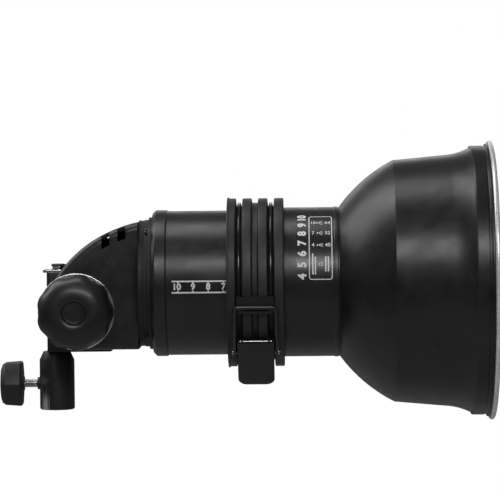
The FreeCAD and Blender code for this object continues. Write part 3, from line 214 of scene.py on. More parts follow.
BLACK = (0.013, 0.013, 0.014)
BARE = (0.42, 0.42, 0.43)
MATERIALS = {
    "cast_black": coated("cast_black", (0.011, 0.011, 0.012), 0.44, 1500, 0.45, wear=BARE),
    "housing_black": coated("housing_black", BLACK, 0.38, 1900, 0.4),
    "barrel_black": coated("barrel_black", BLACK, 0.33, 2400, 0.22),
    "reflector_black": coated("reflector_black", (0.012, 0.012, 0.013), 0.32, 2400, 0.2),
    "reflector_silver": metallic("reflector_silver", (0.86, 0.87, 0.88), 0.28, (1, 1, 1), 0.2),
    "rim_aluminium": metallic("rim_aluminium", (0.9, 0.9, 0.91), 0.3, (1, 0.2, 0.2), 0.1, 0.45),
    "knob_black": coated("knob_black", (0.01, 0.01, 0.011), 0.4, 1200, 0.08, coat=0.12),
    "lock_knob_black": coated("lock_knob_black", (0.012, 0.012, 0.013), 0.46, 1700, 0.3),
    "steel": metallic("steel", (0.62, 0.62, 0.64), 0.24, (1, 0.3, 0.3)),
    "chrome": metallic("chrome", (0.88, 0.88, 0.9), 0.1, (1, 1, 1), 0.03),
    "brass": metallic("brass", (0.75, 0.58, 0.28), 0.3, (1, 0.3, 0.3)),
    "rubber": coated("rubber", (0.019, 0.019, 0.019), 0.5, 2100, 0.35),
    "latch_black": coated("latch_black", (0.011, 0.011, 0.012), 0.38, 2200, 0.1),
    # Flange paint: its base colour, darker than the housing's black, is painted shade for the dark band round
    # the flange; the higher roughness and coarser grain are its own finish.
    "flange_black_painted_shade": coated("flange_black_painted_shade", (0.008, 0.008, 0.009), 0.6, 1700, 0.4),
    "wire_black": coated("wire_black", (0.014, 0.014, 0.015), 0.2, 2600, 0.05, coat=0.3),
    "inner_plastic": coated("inner_plastic", (0.03, 0.03, 0.032), 0.45, 1500, 0.2),
    "inner_aluminium": metallic("inner_aluminium", (0.72, 0.72, 0.74), 0.35, (1, 0.15, 0.15)),
    "ceramic": coated("ceramic", (0.72, 0.7, 0.64), 0.3, 900, 0.1, 0.06, 0.2),
    "flash_glass": clear("flash_glass", (0.97, 0.98, 1.0), 0.03),
    "cover_glass": clear("cover_glass", (0.95, 0.97, 0.98), 0.16),
    "lamp_glass": clear("lamp_glass", (0.98, 0.97, 0.94), 0.04),
    "coil_red": coated("coil_red", (0.4, 0.06, 0.03), 0.28, 1200, 0.1, 0.2, 0.4),
    "print_white": coated("print_white", (0.93, 0.93, 0.92), 0.5, 1800, 0.1, 0.04),
    "label_film": coated("label_film", (0.017, 0.017, 0.018), 0.27, 3000, 0.04, 0.1),
    "tungsten": glowing_wire("tungsten", (0.35, 0.33, 0.32)),
}


# ---- Mesh helpers ----
def shade(mesh, sharp=SHARP):
    """Outward normals, smooth faces, and sharp edges where the surface turns hard."""
    work = bmesh.new()
    work.from_mesh(mesh)
    bmesh.ops.recalc_face_normals(work, faces=work.faces)
    for face in work.faces:
        face.smooth = True
    for edge in work.edges:
        edge.smooth = len(edge.link_faces) != 2 or edge.calc_face_angle(0) < sharp
    work.to_mesh(mesh)
    work.free()


def add_piece(name, verts, faces, sharp=SHARP):
    mesh = bpy.data.meshes.new(name)
    mesh.from_pydata(verts, [], faces)
    shade(mesh, sharp)
    piece = bpy.data.objects.new(name, mesh)
    bpy.context.scene.collection.objects.link(piece)
    return piece


def dress(piece, body, slot, material=None, nodes=()):
    """Gives a piece its material (the slot's own when none is named) and its body, and hides the CAD nodes it
    stands for.
    """
    piece.data.materials.clear()
    piece.data.materials.append(MATERIALS[material or slot])
    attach(piece, body)
    if nodes:
        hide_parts(*nodes)
    return piece


def stand_in(piece, node, material=None):
    """The piece takes the place and body of one CAD node, and the material of its slot."""
    return dress(piece, BODY_OF[node], SLOT_OF[node], material, (node,))


def across(direction):
    """Two unit vectors square to the direction."""
    side = direction.cross(Y if abs(direction.z) > 0.9 else Z).normalized()
    return side, direction.cross(side).normalized()


def rounded(points, radius, steps=4):
    """Rounds the corners of a closed profile, by less where its sides are short."""
    result = []
    count = len(points)
    for index in range(count):
        before, here, after = (Vector(points[(index + k) % count]) for k in (-1, 0, 1))
        arm_in, arm_out = before - here, after - here
        if min(arm_in.length, arm_out.length) < 1e-7:
            continue
        turn = math.pi - arm_in.angle(arm_out)
        if here.y < 1e-7 or turn < math.radians(14):
            result.append(here)
            continue
        reach = min(radius * math.tan(turn / 2), 0.45 * arm_in.length, 0.45 * arm_out.length)
        start = here + arm_in.normalized() * reach
        end = here + arm_out.normalized() * reach
        for step in range(steps + 1):
            t = step / steps
            result.append(start * (1 - t) ** 2 + here * (2 * t * (1 - t)) + end * t ** 2)
    return result


def arc(first, via, last, steps=24):
    """Points of the circle through three points, ends included."""
    a, b, c = Vector(first), Vector(via), Vector(last)
    cross = 2 * ((b - a).x * (c - a).y - (b - a).y * (c - a).x)
    ab, ac = (b - a).length_squared, (c - a).length_squared
    centre = a + Vector((((c - a).y * ab - (b - a).y * ac) / cross,
                         ((b - a).x * ac - (c - a).x * ab) / cross))
    start, end = (math.atan2((p - centre).y, (p - centre).x) for p in (a, c))
    turn = (end - start) % (2 * math.pi) - (0 if cross > 0 else 2 * math.pi)
    size = (a - centre).length
    return [centre + size * Vector((math.cos(start + turn * k / steps), math.sin(start + turn * k / steps)))
            for k in range(steps + 1)]


def lathe(name, profile, foot, direction=X, steps=ROUND_STEPS, wave=None, sharp=SHARP):
    """Solid turned about a line from a closed profile of (along, radius) points."""
    u, v = across(direction)
    verts = []
    rings = []
    for along, radius in profile:
        base = foot + direction * along
        if radius < 1e-7:
            rings.append([len(verts)] * steps)
            verts.append(base)
            continue
        rings.append(list(range(len(verts), len(verts) + steps)))
        for step in range(steps):
            angle = 2 * math.pi * step / steps
            reach = wave(angle, along, radius) if wave else radius
            verts.append(base + (u * math.cos(angle) + v * math.sin(angle)) * reach)
    faces = []
    for index, ring in enumerate(rings):
        following = rings[(index + 1) % len(rings)]
        for step in range(steps):
            nxt = (step + 1) % steps
            corners = []
            for corner in (ring[step], ring[nxt], following[nxt], following[step]):
                if corner not in corners:
                    corners.append(corner)
            if len(corners) > 2:
                faces.append(corners)
    return add_piece(name, verts, faces, sharp)


def sleeve(name, x0, x1, outer, inner, edge, **more):
    """Plain tube about the optical axis with rounded edges."""
    profile = rounded([(x0, inner), (x0, outer), (x1, outer), (x1, inner)], edge)
    return lathe(name, profile, Vector((0, 0, AXIS_Z)), **more)


def smooth_path(points, per_span=8):
    """Points of a curve that passes through each of the given points."""
    path = []
    count = len(points)
    for index in range(count - 1):
        p0, p1, p2, p3 = (points[min(max(index + k, 0), count - 1)] for k in (-1, 0, 1, 2))
        for step in range(per_span):
            t = step / per_span
            path.append(0.5 * ((2 * p1) + (p2 - p0) * t + (2 * p0 - 5 * p1 + 4 * p2 - p3) * t * t
                               + (3 * p1 - p0 - 3 * p2 + p3) * t ** 3))
    path.append(points[-1])
    return path


def wire(name, path, radius, sides=16):
    """Round wire along a path, with slightly domed ends."""
    verts = []
    rings = []
    tangents = []
    for index, point in enumerate(path):
        ahead = path[min(index + 1, len(path) - 1)]
        behind = path[max(index - 1, 0)]
        tangents.append((ahead - behind).normalized())
    side = across(tangents[0])[0]
    stations = [(path[0] - tangents[0] * radius * 0.35, tangents[0], 0.62)]
    stations += [(point, tangent, 1.0) for point, tangent in zip(path, tangents)]
    stations.append((path[-1] + tangents[-1] * radius * 0.35, tangents[-1], 0.62))
    for point, tangent, share in stations:
        side = (side - tangent * side.dot(tangent)).normalized()
        other = tangent.cross(side)
        rings.append(range(len(verts), len(verts) + sides))
        for step in range(sides):
            angle = 2 * math.pi * step / sides
            verts.append(point + (side * math.cos(angle) + other * math.sin(angle)) * radius * share)
    faces = [list(reversed(rings[0])), list(rings[-1])]
    for ring, following in zip(rings, rings[1:]):
        for step in range(sides):
            nxt = (step + 1) % sides
            faces.append((ring[step], ring[nxt], following[nxt], following[step]))
    return add_piece(name, verts, faces)


def refined(node, edge=0.25 * MM, material=None, sharp=SHARP):
    """Copy of a CAD node whose hard edges are rounded, standing in for it."""
    mesh = frame["nodes"][node].data.copy()
    work = bmesh.new()
    work.from_mesh(mesh)
    bmesh.ops.remove_doubles(work, verts=work.verts, dist=2e-6)
    bmesh.ops.dissolve_limit(work, angle_limit=math.radians(0.6), verts=work.verts, edges=work.edges)
    hard = [e for e in work.edges if len(e.link_faces) == 2 and e.calc_face_angle(0) > math.radians(28)]
    if edge > 0 and hard:
        bmesh.ops.bevel(work, geom=hard, offset=edge, segments=2, profile=0.6, affect="EDGES",
                        clamp_overlap=True)
    work.to_mesh(mesh)
    work.free()
    shade(mesh, sharp)
    piece = bpy.data.objects.new("fine_" + node, mesh)
    bpy.context.scene.collection.objects.link(piece)
    return stand_in(piece, node, material)


# ---- Printing: flat shapes laid round the near side of a cylinder ----
def glyph(text, size, bold=0.0):
    """Flat outline of some figures, centred on the origin, as (points, faces)."""
    curve = bpy.data.curves.new("figure", "FONT")
    curve.body = text
    curve.size = size
    curve.align_x = "CENTER"
    curve.align_y = "CENTER"
    curve.offset = bold * size
    curve.resolution_u = 5
    holder = bpy.data.objects.new("figure", curve)
    mesh = bpy.data.meshes.new_from_object(holder)
    points = [(vert.co.x, vert.co.y) for vert in mesh.vertices]
    faces = [tuple(face.vertices) for face in mesh.polygons]
    bpy.data.objects.remove(holder)
    bpy.data.meshes.remove(mesh)
    return points, faces


def bar(x0, x1, y0, y1, step=1.5 * MM):
    """Filled rectangle cut into strips across y, so that it can follow a round surface."""
    strips = max(1, round(abs(y1 - y0) / step))
    points = []
    for row in range(strips + 1):
        y = y0 + (y1 - y0) * row / strips
        points += [(x0, y), (x1, y)]
    return points, [(2 * r, 2 * r + 1, 2 * r + 3, 2 * r + 2) for r in range(strips)]


def ribbon(path, width):
    """Flat line of even width along a closed path."""
    count = len(path)
    points = []
    for index in range(count):
        before, after = Vector(path[index - 1]), Vector(path[(index + 1) % count])
        along = (after - before).normalized()
        side = Vector((-along.y, along.x)) * width / 2
        here = Vector(path[index])
        points += [tuple(here + side), tuple(here - side)]
    faces = []
    for index in range(count):
        nxt = (index + 1) % count
        faces.append((2 * index, 2 * index + 1, 2 * nxt + 1, 2 * nxt))
    return points, faces


def rounded_frame(x0, x1, y0, y1, corner, width, step=1.5 * MM):
    """Outline of a rectangle with round corners."""
    path = []
    centres = ((x1 - corner, y1 - corner, 0), (x0 + corner, y1 - corner, 90),
               (x0 + corner, y0 + corner, 180), (x1 - corner, y0 + corner, 270))
    for cx, cy, first in centres:
        for turn in range(first, first + 91, 15):
            angle = math.radians(turn)
            path.append((cx + corner * math.cos(angle), cy + corner * math.sin(angle)))
    dense = []
    for index, here in enumerate(path):
        nxt = path[(index + 1) % len(path)]
        parts = max(1, round(math.dist(here, nxt) / step))
        for part in range(parts):
            t = part / parts
            dense.append((here[0] + (nxt[0] - here[0]) * t, here[1] + (nxt[1] - here[1]) * t))
    return ribbon(dense, width)


def shifted(shape, dx, dy, upright=True):
    """Moves a flat shape; if not upright, it is first turned to read upwards."""
    points, faces = shape
    if not upright:
        points = [(-y, x) for x, y in points]
    return [(x + dx, y + dy) for x, y in points], faces


def printed(name, shapes, radius, depth, body, slot, material):
    """Joins flat shapes into one thin solid wrapped round the near side of a cylinder."""
    verts = []
    faces = []
    for points, cells in shapes:
        for outer in (True, False):
            reach = radius + (depth if outer else -0.02 * MM)
            base = len(verts)
            for along, up in points:
                angle = up / radius
                verts.append(Vector((along, -reach * math.cos(angle), AXIS_Z + reach * math.sin(angle))))
            if outer:
                top = base
            for cell in cells:
                ring = [base + corner for corner in cell]
                faces.append(ring if outer else list(reversed(ring)))
        uses = {}
        for cell in cells:
            for corner, nxt in zip(cell, cell[1:] + cell[:1]):
                uses[frozenset((corner, nxt))] = uses.get(frozenset((corner, nxt)), []) + [(corner, nxt)]
        for found in uses.values():
            if len(found) == 1:
                a, b = found[0]
                faces.append([top + b, top + a, base + a, base + b])
    piece = add_piece(name, verts, faces)
    return dress(piece, body, slot, material)


# ---- Turned pieces about the optical axis ----
AXIS_FOOT = Vector((0, 0, AXIS_Z))
BARREL_WALL = 2.5 * MM
FLANGE_WALL = 4.8 * MM
FLANGE_CHAMFER = 1.6 * MM
FLANGE_STEPS = ((0.38, 2.2 * MM), (0.72, 1.8 * MM))     # (share of the length, drop below the rim)


def make_flange():
    low, high = low_high("housing_flange")
    outer = (high.y - low.y) / 2
    inner = outer - FLANGE_WALL
    length = high.x - low.x
    profile = [(low.x, inner), (low.x, outer - FLANGE_CHAMFER)]
    start = low.x
    for share, drop in FLANGE_STEPS:
        end = low.x + share * length
        profile += [(start + 0.5 * MM, outer - drop), (end, outer - drop)]
        start = end
    profile += [(start + 0.1 * MM, outer), (high.x, outer), (high.x, inner)]
    flange = lathe("round_flange", rounded(profile, 0.35 * MM, 3), AXIS_FOOT)
    # The flange's darker paint is painted shade.
    stand_in(flange, "housing_flange", "flange_black_painted_shade")


def make_barrel():
    ring_low, ring_high = low_high("barrel_ring")
    ring_x0 = low_high("housing_flange")[1].x
    tube_low, tube_high = low_high("barrel_tube")
    ring_r = (ring_high.y - ring_low.y) / 2
    bore = BARREL_R - BARREL_WALL
    inner = 36 * MM
    spigot = 41 * MM
    groove = 0.5 * MM
    profile = [
        (ring_low.x, inner), (ring_low.x, spigot), (ring_x0, spigot), (ring_x0, ring_r - 2.4 * MM),
        (ring_x0 + 2.4 * MM, ring_r), (tube_low.x - groove, ring_r),
        (tube_low.x - groove, BARREL_R - 0.6 * MM), (tube_low.x, BARREL_R - 0.6 * MM),
        (tube_low.x, bore), (ring_high.x, bore), (ring_high.x, inner)]
    ring = lathe("turned_ring", rounded(profile, 1.3 * MM, 6), AXIS_FOOT)
    stand_in(ring, "barrel_ring")
    tube = sleeve("painted_barrel", tube_low.x, tube_high.x, BARREL_R, bore, 0.35 * MM)
    stand_in(tube, "barrel_tube")


BELL_WALL = 1.8 * MM
BELL_SHOULDER = Vector((234.3 * MM, 83.7 * MM))
BELL_SIDE = Vector((273.0 * MM, 87.2 * MM))
NECK_BORE = 50.35 * MM


def bell_curve(inset):
    """Outline of the bowl from the neck to the mouth, drawn in by the inset."""
    neck_x = low_high("neck_sleeve")[1].x
    band_low, band_high = low_high("front_band")
    mouth_r = (band_high.y - band_low.y) / 2 - 1.4 * MM
    reach, rise = BELL_SHOULDER.x - neck_x, BELL_SHOULDER.y - NECK_R
    dome = arc((neck_x, NECK_R), (neck_x + 0.44 * reach, NECK_R + 0.56 * rise), BELL_SHOULDER, 40)
    span, flare_rise = band_low.x - BELL_SIDE.x, mouth_r - BELL_SIDE.y
    flare = arc(BELL_SIDE, (BELL_SIDE.x + 0.5 * span, BELL_SIDE.y + 0.36 * flare_rise),
                (band_low.x, mouth_r), 16)
    curve = dome + flare + [Vector((band_high.x, mouth_r))]
    if inset == 0:
        return curve
    inner = []
    for index, here in enumerate(curve):
        before, after = curve[max(index - 1, 0)], curve[min(index + 1, len(curve) - 1)]
        along = (after - before).normalized()
        inner.append(here + Vector((along.y, -along.x)) * inset)
    inner[0] = Vector((neck_x, NECK_R - inset))
    inner[-1] = Vector((band_high.x, mouth_r - inset))
    return inner


BOWL = ("reflector_dome", "reflector_skirt")


def make_reflector():
    """The bowl is one spinning, painted outside and bright inside, so it is made as two skins."""
    skin = BELL_WALL / 2
    outer, seam, inner = bell_curve(0), bell_curve(skin), bell_curve(BELL_WALL * 0.8)
    painted = lathe("bell_painted_skin", outer + seam[::-1], AXIS_FOOT, steps=224, sharp=math.radians(12))
    dress(painted, "reflector", "reflector_black", None, BOWL)
    seam[0].y = NECK_R - skin
    bright = lathe("bell_bright_skin", seam + inner[::-1], AXIS_FOOT, steps=224, sharp=math.radians(50))
    dress(bright, "reflector", "rim_aluminium", "reflector_silver", BOWL)

    low, high = low_high("neck_sleeve")
    bead = 1.3 * MM
    profile = rounded([
        (low.x, NECK_BORE), (low.x, NECK_R), (high.x - 3 * bead, NECK_R),
        (high.x - 2.6 * bead, NECK_R + 0.35 * MM), (high.x - bead, NECK_R + 0.35 * MM),
        (high.x - 0.6 * bead, NECK_R), (high.x, NECK_R),
        (high.x, NECK_BORE)], 0.3 * MM)
    stand_in(lathe("painted_neck", profile, AXIS_FOOT, steps=192), "neck_sleeve")


BEZEL_PROUD = 1.2 * MM       # dark lip between the band and the bright rim
BEZEL_L = 1.6 * MM


def make_front_edge():
    low, high = low_high("front_band")
    outer = (high.y - low.y) / 2
    inner = outer - 1.4 * MM
    profile = rounded([
        (low.x, inner), (low.x, outer - 0.3 * MM), (low.x + 1.2 * MM, outer), (high.x - 2.2 * MM, outer),
        (high.x - 1.8 * MM, outer - 0.35 * MM), (high.x - 0.9 * MM, outer - 0.35 * MM),
        (high.x - 0.5 * MM, outer), (high.x, outer), (high.x + 0.2 * MM, outer + BEZEL_PROUD),
        (high.x + BEZEL_L, outer + BEZEL_PROUD), (high.x + BEZEL_L, outer - 0.5 * MM),
        (high.x, outer - 0.5 * MM), (high.x, inner)], 0.35 * MM)
    stand_in(lathe("mouth_band", profile, AXIS_FOOT, steps=224), "front_band")
    low, high = low_high("front_rim")
    x0 = low_high("front_band")[1].x
    rim_r = 96.6 * MM
    inner = 90 * MM
    front = x0 + 5 * MM
    foot = x0 + BEZEL_L + 0.1 * MM
    bead = arc((foot, rim_r - 1.8 * MM), (foot + 1.5 * MM, rim_r), (front, rim_r - 2.4 * MM), 20)
    back = [Vector((x0, inner + 0.4 * MM)), Vector((x0, outer - 0.7 * MM)), Vector((foot, outer - 0.7 * MM))]
    mouth = [Vector((front - 0.5 * MM, rim_r - 4.4 * MM)), Vector((front - 1.4 * MM, inner + 0.3 * MM)),
             Vector((front - 2.2 * MM, inner))]
    profile = back + bead + mouth
    stand_in(lathe("rolled_rim", rounded(profile, 0.3 * MM), AXIS_FOOT, steps=256), "front_rim")


COLLAR_FIRST_RIB = 6.2 * MM
COLLAR_RIB = 6.7 * MM
COLLAR_GAP = 4.2 * MM
COLLAR_GAPS = 3
COLLAR_R = 58.3 * MM
COLLAR_FLOOR_R = 55.2 * MM
COLLAR_LIP_R = 59.0 * MM
COLLAR_LIP = 1.2 * MM
WIRE_R = 1.3 * MM
WIRE_RING_R = 54.2 * MM
WIRED_GAPS = (0, 2)


def collar_grooves():
    x = low_high("rubber_collar")[0].x + COLLAR_FIRST_RIB
    for index in range(COLLAR_GAPS):
        yield index, x, x + COLLAR_GAP
        x += COLLAR_GAP + COLLAR_RIB


def make_collar():
    low, high = low_high("rubber_collar")
    profile = [(low.x, NECK_BORE + 0.3 * MM), (low.x, COLLAR_LIP_R), (low.x + COLLAR_LIP, COLLAR_LIP_R),
               (low.x + COLLAR_LIP, COLLAR_R)]
    draft = 0.25 * MM
    for index, x0, x1 in collar_grooves():
        floor = WIRE_RING_R - WIRE_R if index in WIRED_GAPS else COLLAR_FLOOR_R
        profile += [(x0 - draft, COLLAR_R), (x0 + draft, floor), (x1 - draft, floor), (x1 + draft, COLLAR_R)]
    profile += [(high.x, COLLAR_R), (high.x, NECK_R), (low.x + COLLAR_LIP, NECK_R),
                (low.x + COLLAR_LIP, NECK_BORE + 0.3 * MM)]
    stand_in(lathe("ribbed_collar", rounded(profile, 0.8 * MM, 5), AXIS_FOOT, steps=192), "rubber_collar")


# ---- Knobs and screws ----
KNOB_LOBES = 9
KNOB_R = 26.0 * MM
KNOB_RECESS_R = 8.2 * MM


def make_tilt_knob():
    low, high = low_high("tilt_knob")
    centre = middle("tilt_bolt")
    foot = Vector((centre.x, high.y, centre.z))
    length = high.y - low.y
    skirt = 0.55 * length
    recess = 3.0 * MM
    dome = arc((skirt, KNOB_R), (skirt + 0.33 * length, 0.8 * KNOB_R), (length, KNOB_RECESS_R + 1.2 * MM), 30)
    side = [Vector((skirt * k / 8, KNOB_R)) for k in range(1, 8)]
    rim = rounded([(0, 20 * MM), (0, KNOB_R - 0.6 * MM), (1.5 * MM, KNOB_R)], 1.2 * MM)
    profile = [Vector((0, 0))] + rim + side + dome + [
        Vector((length - 0.5 * MM, KNOB_RECESS_R)), Vector((length - recess, KNOB_RECESS_R)),
        Vector((length - recess, 0))]
    start = math.radians(20)

    def wave(angle, along, radius):
        valley = (1 - math.cos(KNOB_LOBES * (angle - start))) / 2
        fade = min(1.0, max(0.0, (radius - 0.8 * KNOB_R) / (0.2 * KNOB_R)))
        return radius - 1.3 * MM * valley ** 1.3 * fade ** 1.4
    knob = lathe("moulded_tilt_knob", profile, foot, NEAR, 288, wave, math.radians(48))
    stand_in(knob, "tilt_knob")
    cap_low, cap_high = low_high("tilt_cap")
    cap_foot = Vector((centre.x, cap_high.y, centre.z))
    height = cap_high.y - cap_low.y
    cap_r = KNOB_RECESS_R - 0.25 * MM
    cap = rounded([(0, 0), (0, cap_r), (height * 0.8, cap_r), (height * 0.8, cap_r - 1.4 * MM),
                   (height * 0.45, cap_r - 2.2 * MM), (height * 0.6, 0)], 0.5 * MM)
    stand_in(lathe("knob_centre_cap", cap, cap_foot, NEAR, 96), "tilt_cap")


def make_tilt_disc():
    low, high = low_high("tilt_disc")
    centre = middle("tilt_bolt")
    outer = 26.3 * MM
    bore = 5.1 * MM
    thick = high.y - low.y
    profile = rounded([(0, bore), (0, outer), (thick, outer), (thick, bore)], 0.6 * MM, 5)
    disc = lathe("bright_tilt_disc", profile, Vector((centre.x, high.y, centre.z)), NEAR, 160)
    stand_in(disc, "tilt_disc")


def make_lock_knob():
    low, high = low_high("lock_knob")
    centre = middle("lock_screw")
    hub_l = 1.5 * MM
    hub_r = 5.2 * MM
    bore = 3.0 * MM
    length = high.x - low.x
    knob_r = 16.3 * MM
    foot = Vector((high.x, 0, centre.z))
    profile = [(0, bore), (0, hub_r), (hub_l, hub_r), (hub_l, knob_r - 0.9 * MM),
               (hub_l + 0.8 * MM, knob_r), (length - 3.6 * MM, knob_r - 0.8 * MM),
               (length - 1.4 * MM, knob_r - 2.4 * MM), (length - 0.3 * MM, knob_r - 5.5 * MM),
               (length, 0), (length - 9 * MM, 0), (length - 9 * MM, bore)]

    def wave(angle, along, radius):
        part = (math.degrees(angle) + 30) % 60 - 30
        flat = math.cos(math.radians(30)) / math.cos(math.radians(30 - abs(part)))
        share = min(1.0, max(0.0, (radius - 6 * MM) / (8 * MM)))
        return radius * (1 + 0.05 * share) * (1 - 0.62 * share * (1 - flat))
    knob = lathe("moulded_lock_knob", rounded(profile, 0.9 * MM, 5), foot, -X, 192, wave, math.radians(40))
    stand_in(knob, "lock_knob")


def make_lock_screw():
    """Metric screw with a rolled thread that runs out into a plain tip."""
    low, high = low_high("lock_screw")
    centre = middle("lock_screw")
    pitch = 1.0 * MM
    crest, root = 2.98 * MM, 2.4 * MM
    around_steps, along_steps = 48, round((high.x - low.x) / pitch * 10)
    verts = []
    for row in range(along_steps + 1):
        x = low.x + (high.x - low.x) * row / along_steps
        taper = min(1.0, (high.x - x) / (1.2 * MM))
        for step in range(around_steps):
            turn = step / around_steps
            phase = (x / pitch - turn) % 1.0
            ridge = max(0.0, 1 - abs(phase - 0.5) * 2.6)
            radius = root + (crest - root) * min(1.0, ridge * 1.3) * taper
            angle = 2 * math.pi * turn
            verts.append(Vector((x, radius * math.cos(angle), centre.z + radius * math.sin(angle))))
    faces = []
    for row in range(along_steps):
        for step in range(around_steps):
            nxt = (step + 1) % around_steps
            a, b = row * around_steps, (row + 1) * around_steps
            faces.append((a + step, a + nxt, b + nxt, b + step))
    faces.append(list(range(around_steps))[::-1])
    faces.append([along_steps * around_steps + step for step in range(around_steps)])
    stand_in(add_piece("threaded_lock_screw", verts, faces, math.radians(60)), "lock_screw")


def socket_screw(name, foot, direction, head_r, head_h, shank_r, shank_l, node, material=None):
    """Machine screw with a rounded head and a hexagon socket; the foot is under its head."""
    key_r = head_r * 0.52
    profile = rounded([(-shank_l, 0), (-shank_l, shank_r), (0, shank_r), (0, head_r), (head_h, head_r),
                       (head_h, key_r), (head_h * 0.35, key_r), (head_h * 0.35, 0)], 0.22 * MM, 3)

    def wave(angle, along, radius):
        if along < head_h * 0.2 or radius > key_r * 1.05 or radius < key_r * 0.5:
            return radius
        part = math.degrees(angle) % 60 - 30
        return radius * math.cos(math.radians(30)) / math.cos(math.radians(part))
    stand_in(lathe(name, profile, foot, direction, 48, wave), node, material)


def loose_parts(node):
    """Points of each separate solid in one CAD node, in the order of its mesh."""
    work = bmesh.new()
    work.from_mesh(frame["nodes"][node].data)
    bmesh.ops.remove_doubles(work, verts=work.verts, dist=2e-6)
    seen = set()
    found = []
    for seed in work.verts:
        if seed in seen:
            continue
        seen.add(seed)
        group, queue = [seed], [seed]
        while queue:
            for edge in queue.pop().link_edges:
                for vert in edge.verts:
                    if vert not in seen:
                        seen.add(vert)
                        group.append(vert)
                        queue.append(vert)
        found.append([vert.co.copy() for vert in group])
    work.free()
    return found


def make_screws():
    for index, points in enumerate(loose_parts("housing_screws")):
        top = max(point.y for point in points)
        bottom = min(point.y for point in points)
        x = (max(p.x for p in points) + min(p.x for p in points)) / 2
        z = (max(p.z for p in points) + min(p.z for p in points)) / 2
        head_h = 2.0 * MM
        socket_screw("shell_screw_%d" % index, Vector((x, top - head_h, z)), Y, 2.8 * MM, head_h, 1.5 * MM,
                     top - head_h - bottom, "housing_screws")
    for index, points in enumerate(loose_parts("flange_screws")):
        centre = sum(points, Vector()) / len(points)
        out = Vector((0, centre.y, centre.z - AXIS_Z)).normalized()
        reach = [(point - AXIS_FOOT).dot(out) for point in points]
        head_h = 1.4 * MM
        x = (max(p.x for p in points) + min(p.x for p in points)) / 2
        foot = Vector((x, 0, AXIS_Z)) + out * (max(reach) - head_h)
        socket_screw("flange_screw_%d" % index, foot, out, 2.1 * MM, head_h, 1.3 * MM,
                     max(reach) - head_h - min(reach), "flange_screws", "latch_black")


# ---- Latch ----
LATCH_ANGLE = 45.0
CATCH_ANGLE = 14.0
BAIL_R = 61.5 * MM
BAIL_HALF_W = 14.1 * MM
BAIL_PIN = Vector((-2.7 * MM, 62.4 * MM))
LATCH_X = (low_high("rubber_collar")[0].x + low_high("rubber_collar")[1].x) / 2


def on_latch(x, across_y, out, angle=LATCH_ANGLE):
    """Point given along the beam, towards the catch and outward, on the latch's own axis."""
    turn = math.radians(90 + angle)
    return Vector((LATCH_X + x, across_y * math.cos(turn) - out * math.sin(turn),
                   AXIS_Z + across_y * math.sin(turn) + out * math.cos(turn)))


def bent(points, radius, steps=6):
    """Path whose corners are bent round, as a wire's are."""
    path = [points[0]]
    for before, here, after in zip(points, points[1:], points[2:]):
        arm_in, arm_out = before - here, after - here
        turn = math.pi - arm_in.angle(arm_out)
        reach = min(radius * math.tan(turn / 2), 0.48 * arm_in.length, 0.48 * arm_out.length)
        start, end = here + arm_in.normalized() * reach, here + arm_out.normalized() * reach
        if turn < math.radians(20):
            path.append(here)
            continue
        for step in range(steps + 1):
            t = step / steps
            path.append(start * (1 - t) ** 2 + here * (2 * t * (1 - t)) + end * t ** 2)
    path.append(points[-1])
    return path


def make_bail():
    bar_turn = LATCH_ANGLE - CATCH_ANGLE
    pin_turn = math.degrees(math.atan2(BAIL_PIN.x, BAIL_PIN.y))
    pin_end = 11.1 * MM

    def leg(side, turns):
        spots = [on_latch(side * BAIL_HALF_W, BAIL_R * math.sin(math.radians(turn)),
                          BAIL_R * math.cos(math.radians(turn))) for turn in turns]
        return spots
    rows = [pin_turn + (bar_turn - pin_turn) * k / 6 for k in range(7)]
    foot = [on_latch(side * BAIL_HALF_W, *BAIL_PIN) for side in (-1, 1)]
    path = [on_latch(-pin_end, *BAIL_PIN), foot[0]] + leg(-1, rows[1:]) + leg(1, rows[:0:-1])
    path += [foot[1], on_latch(pin_end, *BAIL_PIN)]
    dense = [path[0]] + bent(path, 3.4 * MM, 10)[1:-1] + [path[-1]]
    bail = wire("latch_wire_bail", dense, WIRE_R, 20)
    stand_in(bail, "latch_bail")
    for side in (-1, 1):
        start = on_latch(side * (BAIL_HALF_W + 0.9 * WIRE_R), *BAIL_PIN)
        profile = rounded([(0, 0), (0, 1.7 * MM), (0.8 * MM, 1.7 * MM), (0.8 * MM, 0)], 0.35 * MM)
        stud = lathe("bail_stud_%s" % ("front" if side > 0 else "rear"), profile, start, X * side, 40)
        dress(stud, "bail", "steel")


def make_clamp_wires():
    base_end = LATCH_ANGLE + math.degrees(math.asin(14.0 * MM / (WIRE_RING_R - WIRE_R)))
    catch_end = CATCH_ANGLE - math.degrees(math.asin(7.0 * MM / (WIRE_RING_R - WIRE_R)))
    for index, x0, x1 in collar_grooves():
        if index not in WIRED_GAPS:
            continue
        steps = 140
        path = []
        for step in range(steps + 1):
            below = base_end + (360 - (base_end - catch_end)) * step / steps
            turn = math.radians(below)
            path.append(Vector(((x0 + x1) / 2, -WIRE_RING_R * math.cos(turn),
                                AXIS_Z - WIRE_RING_R * math.sin(turn))))
        stand_in(wire("clamp_wire_%d" % (index + 1), path, WIRE_R, 20), "clamp_wires")


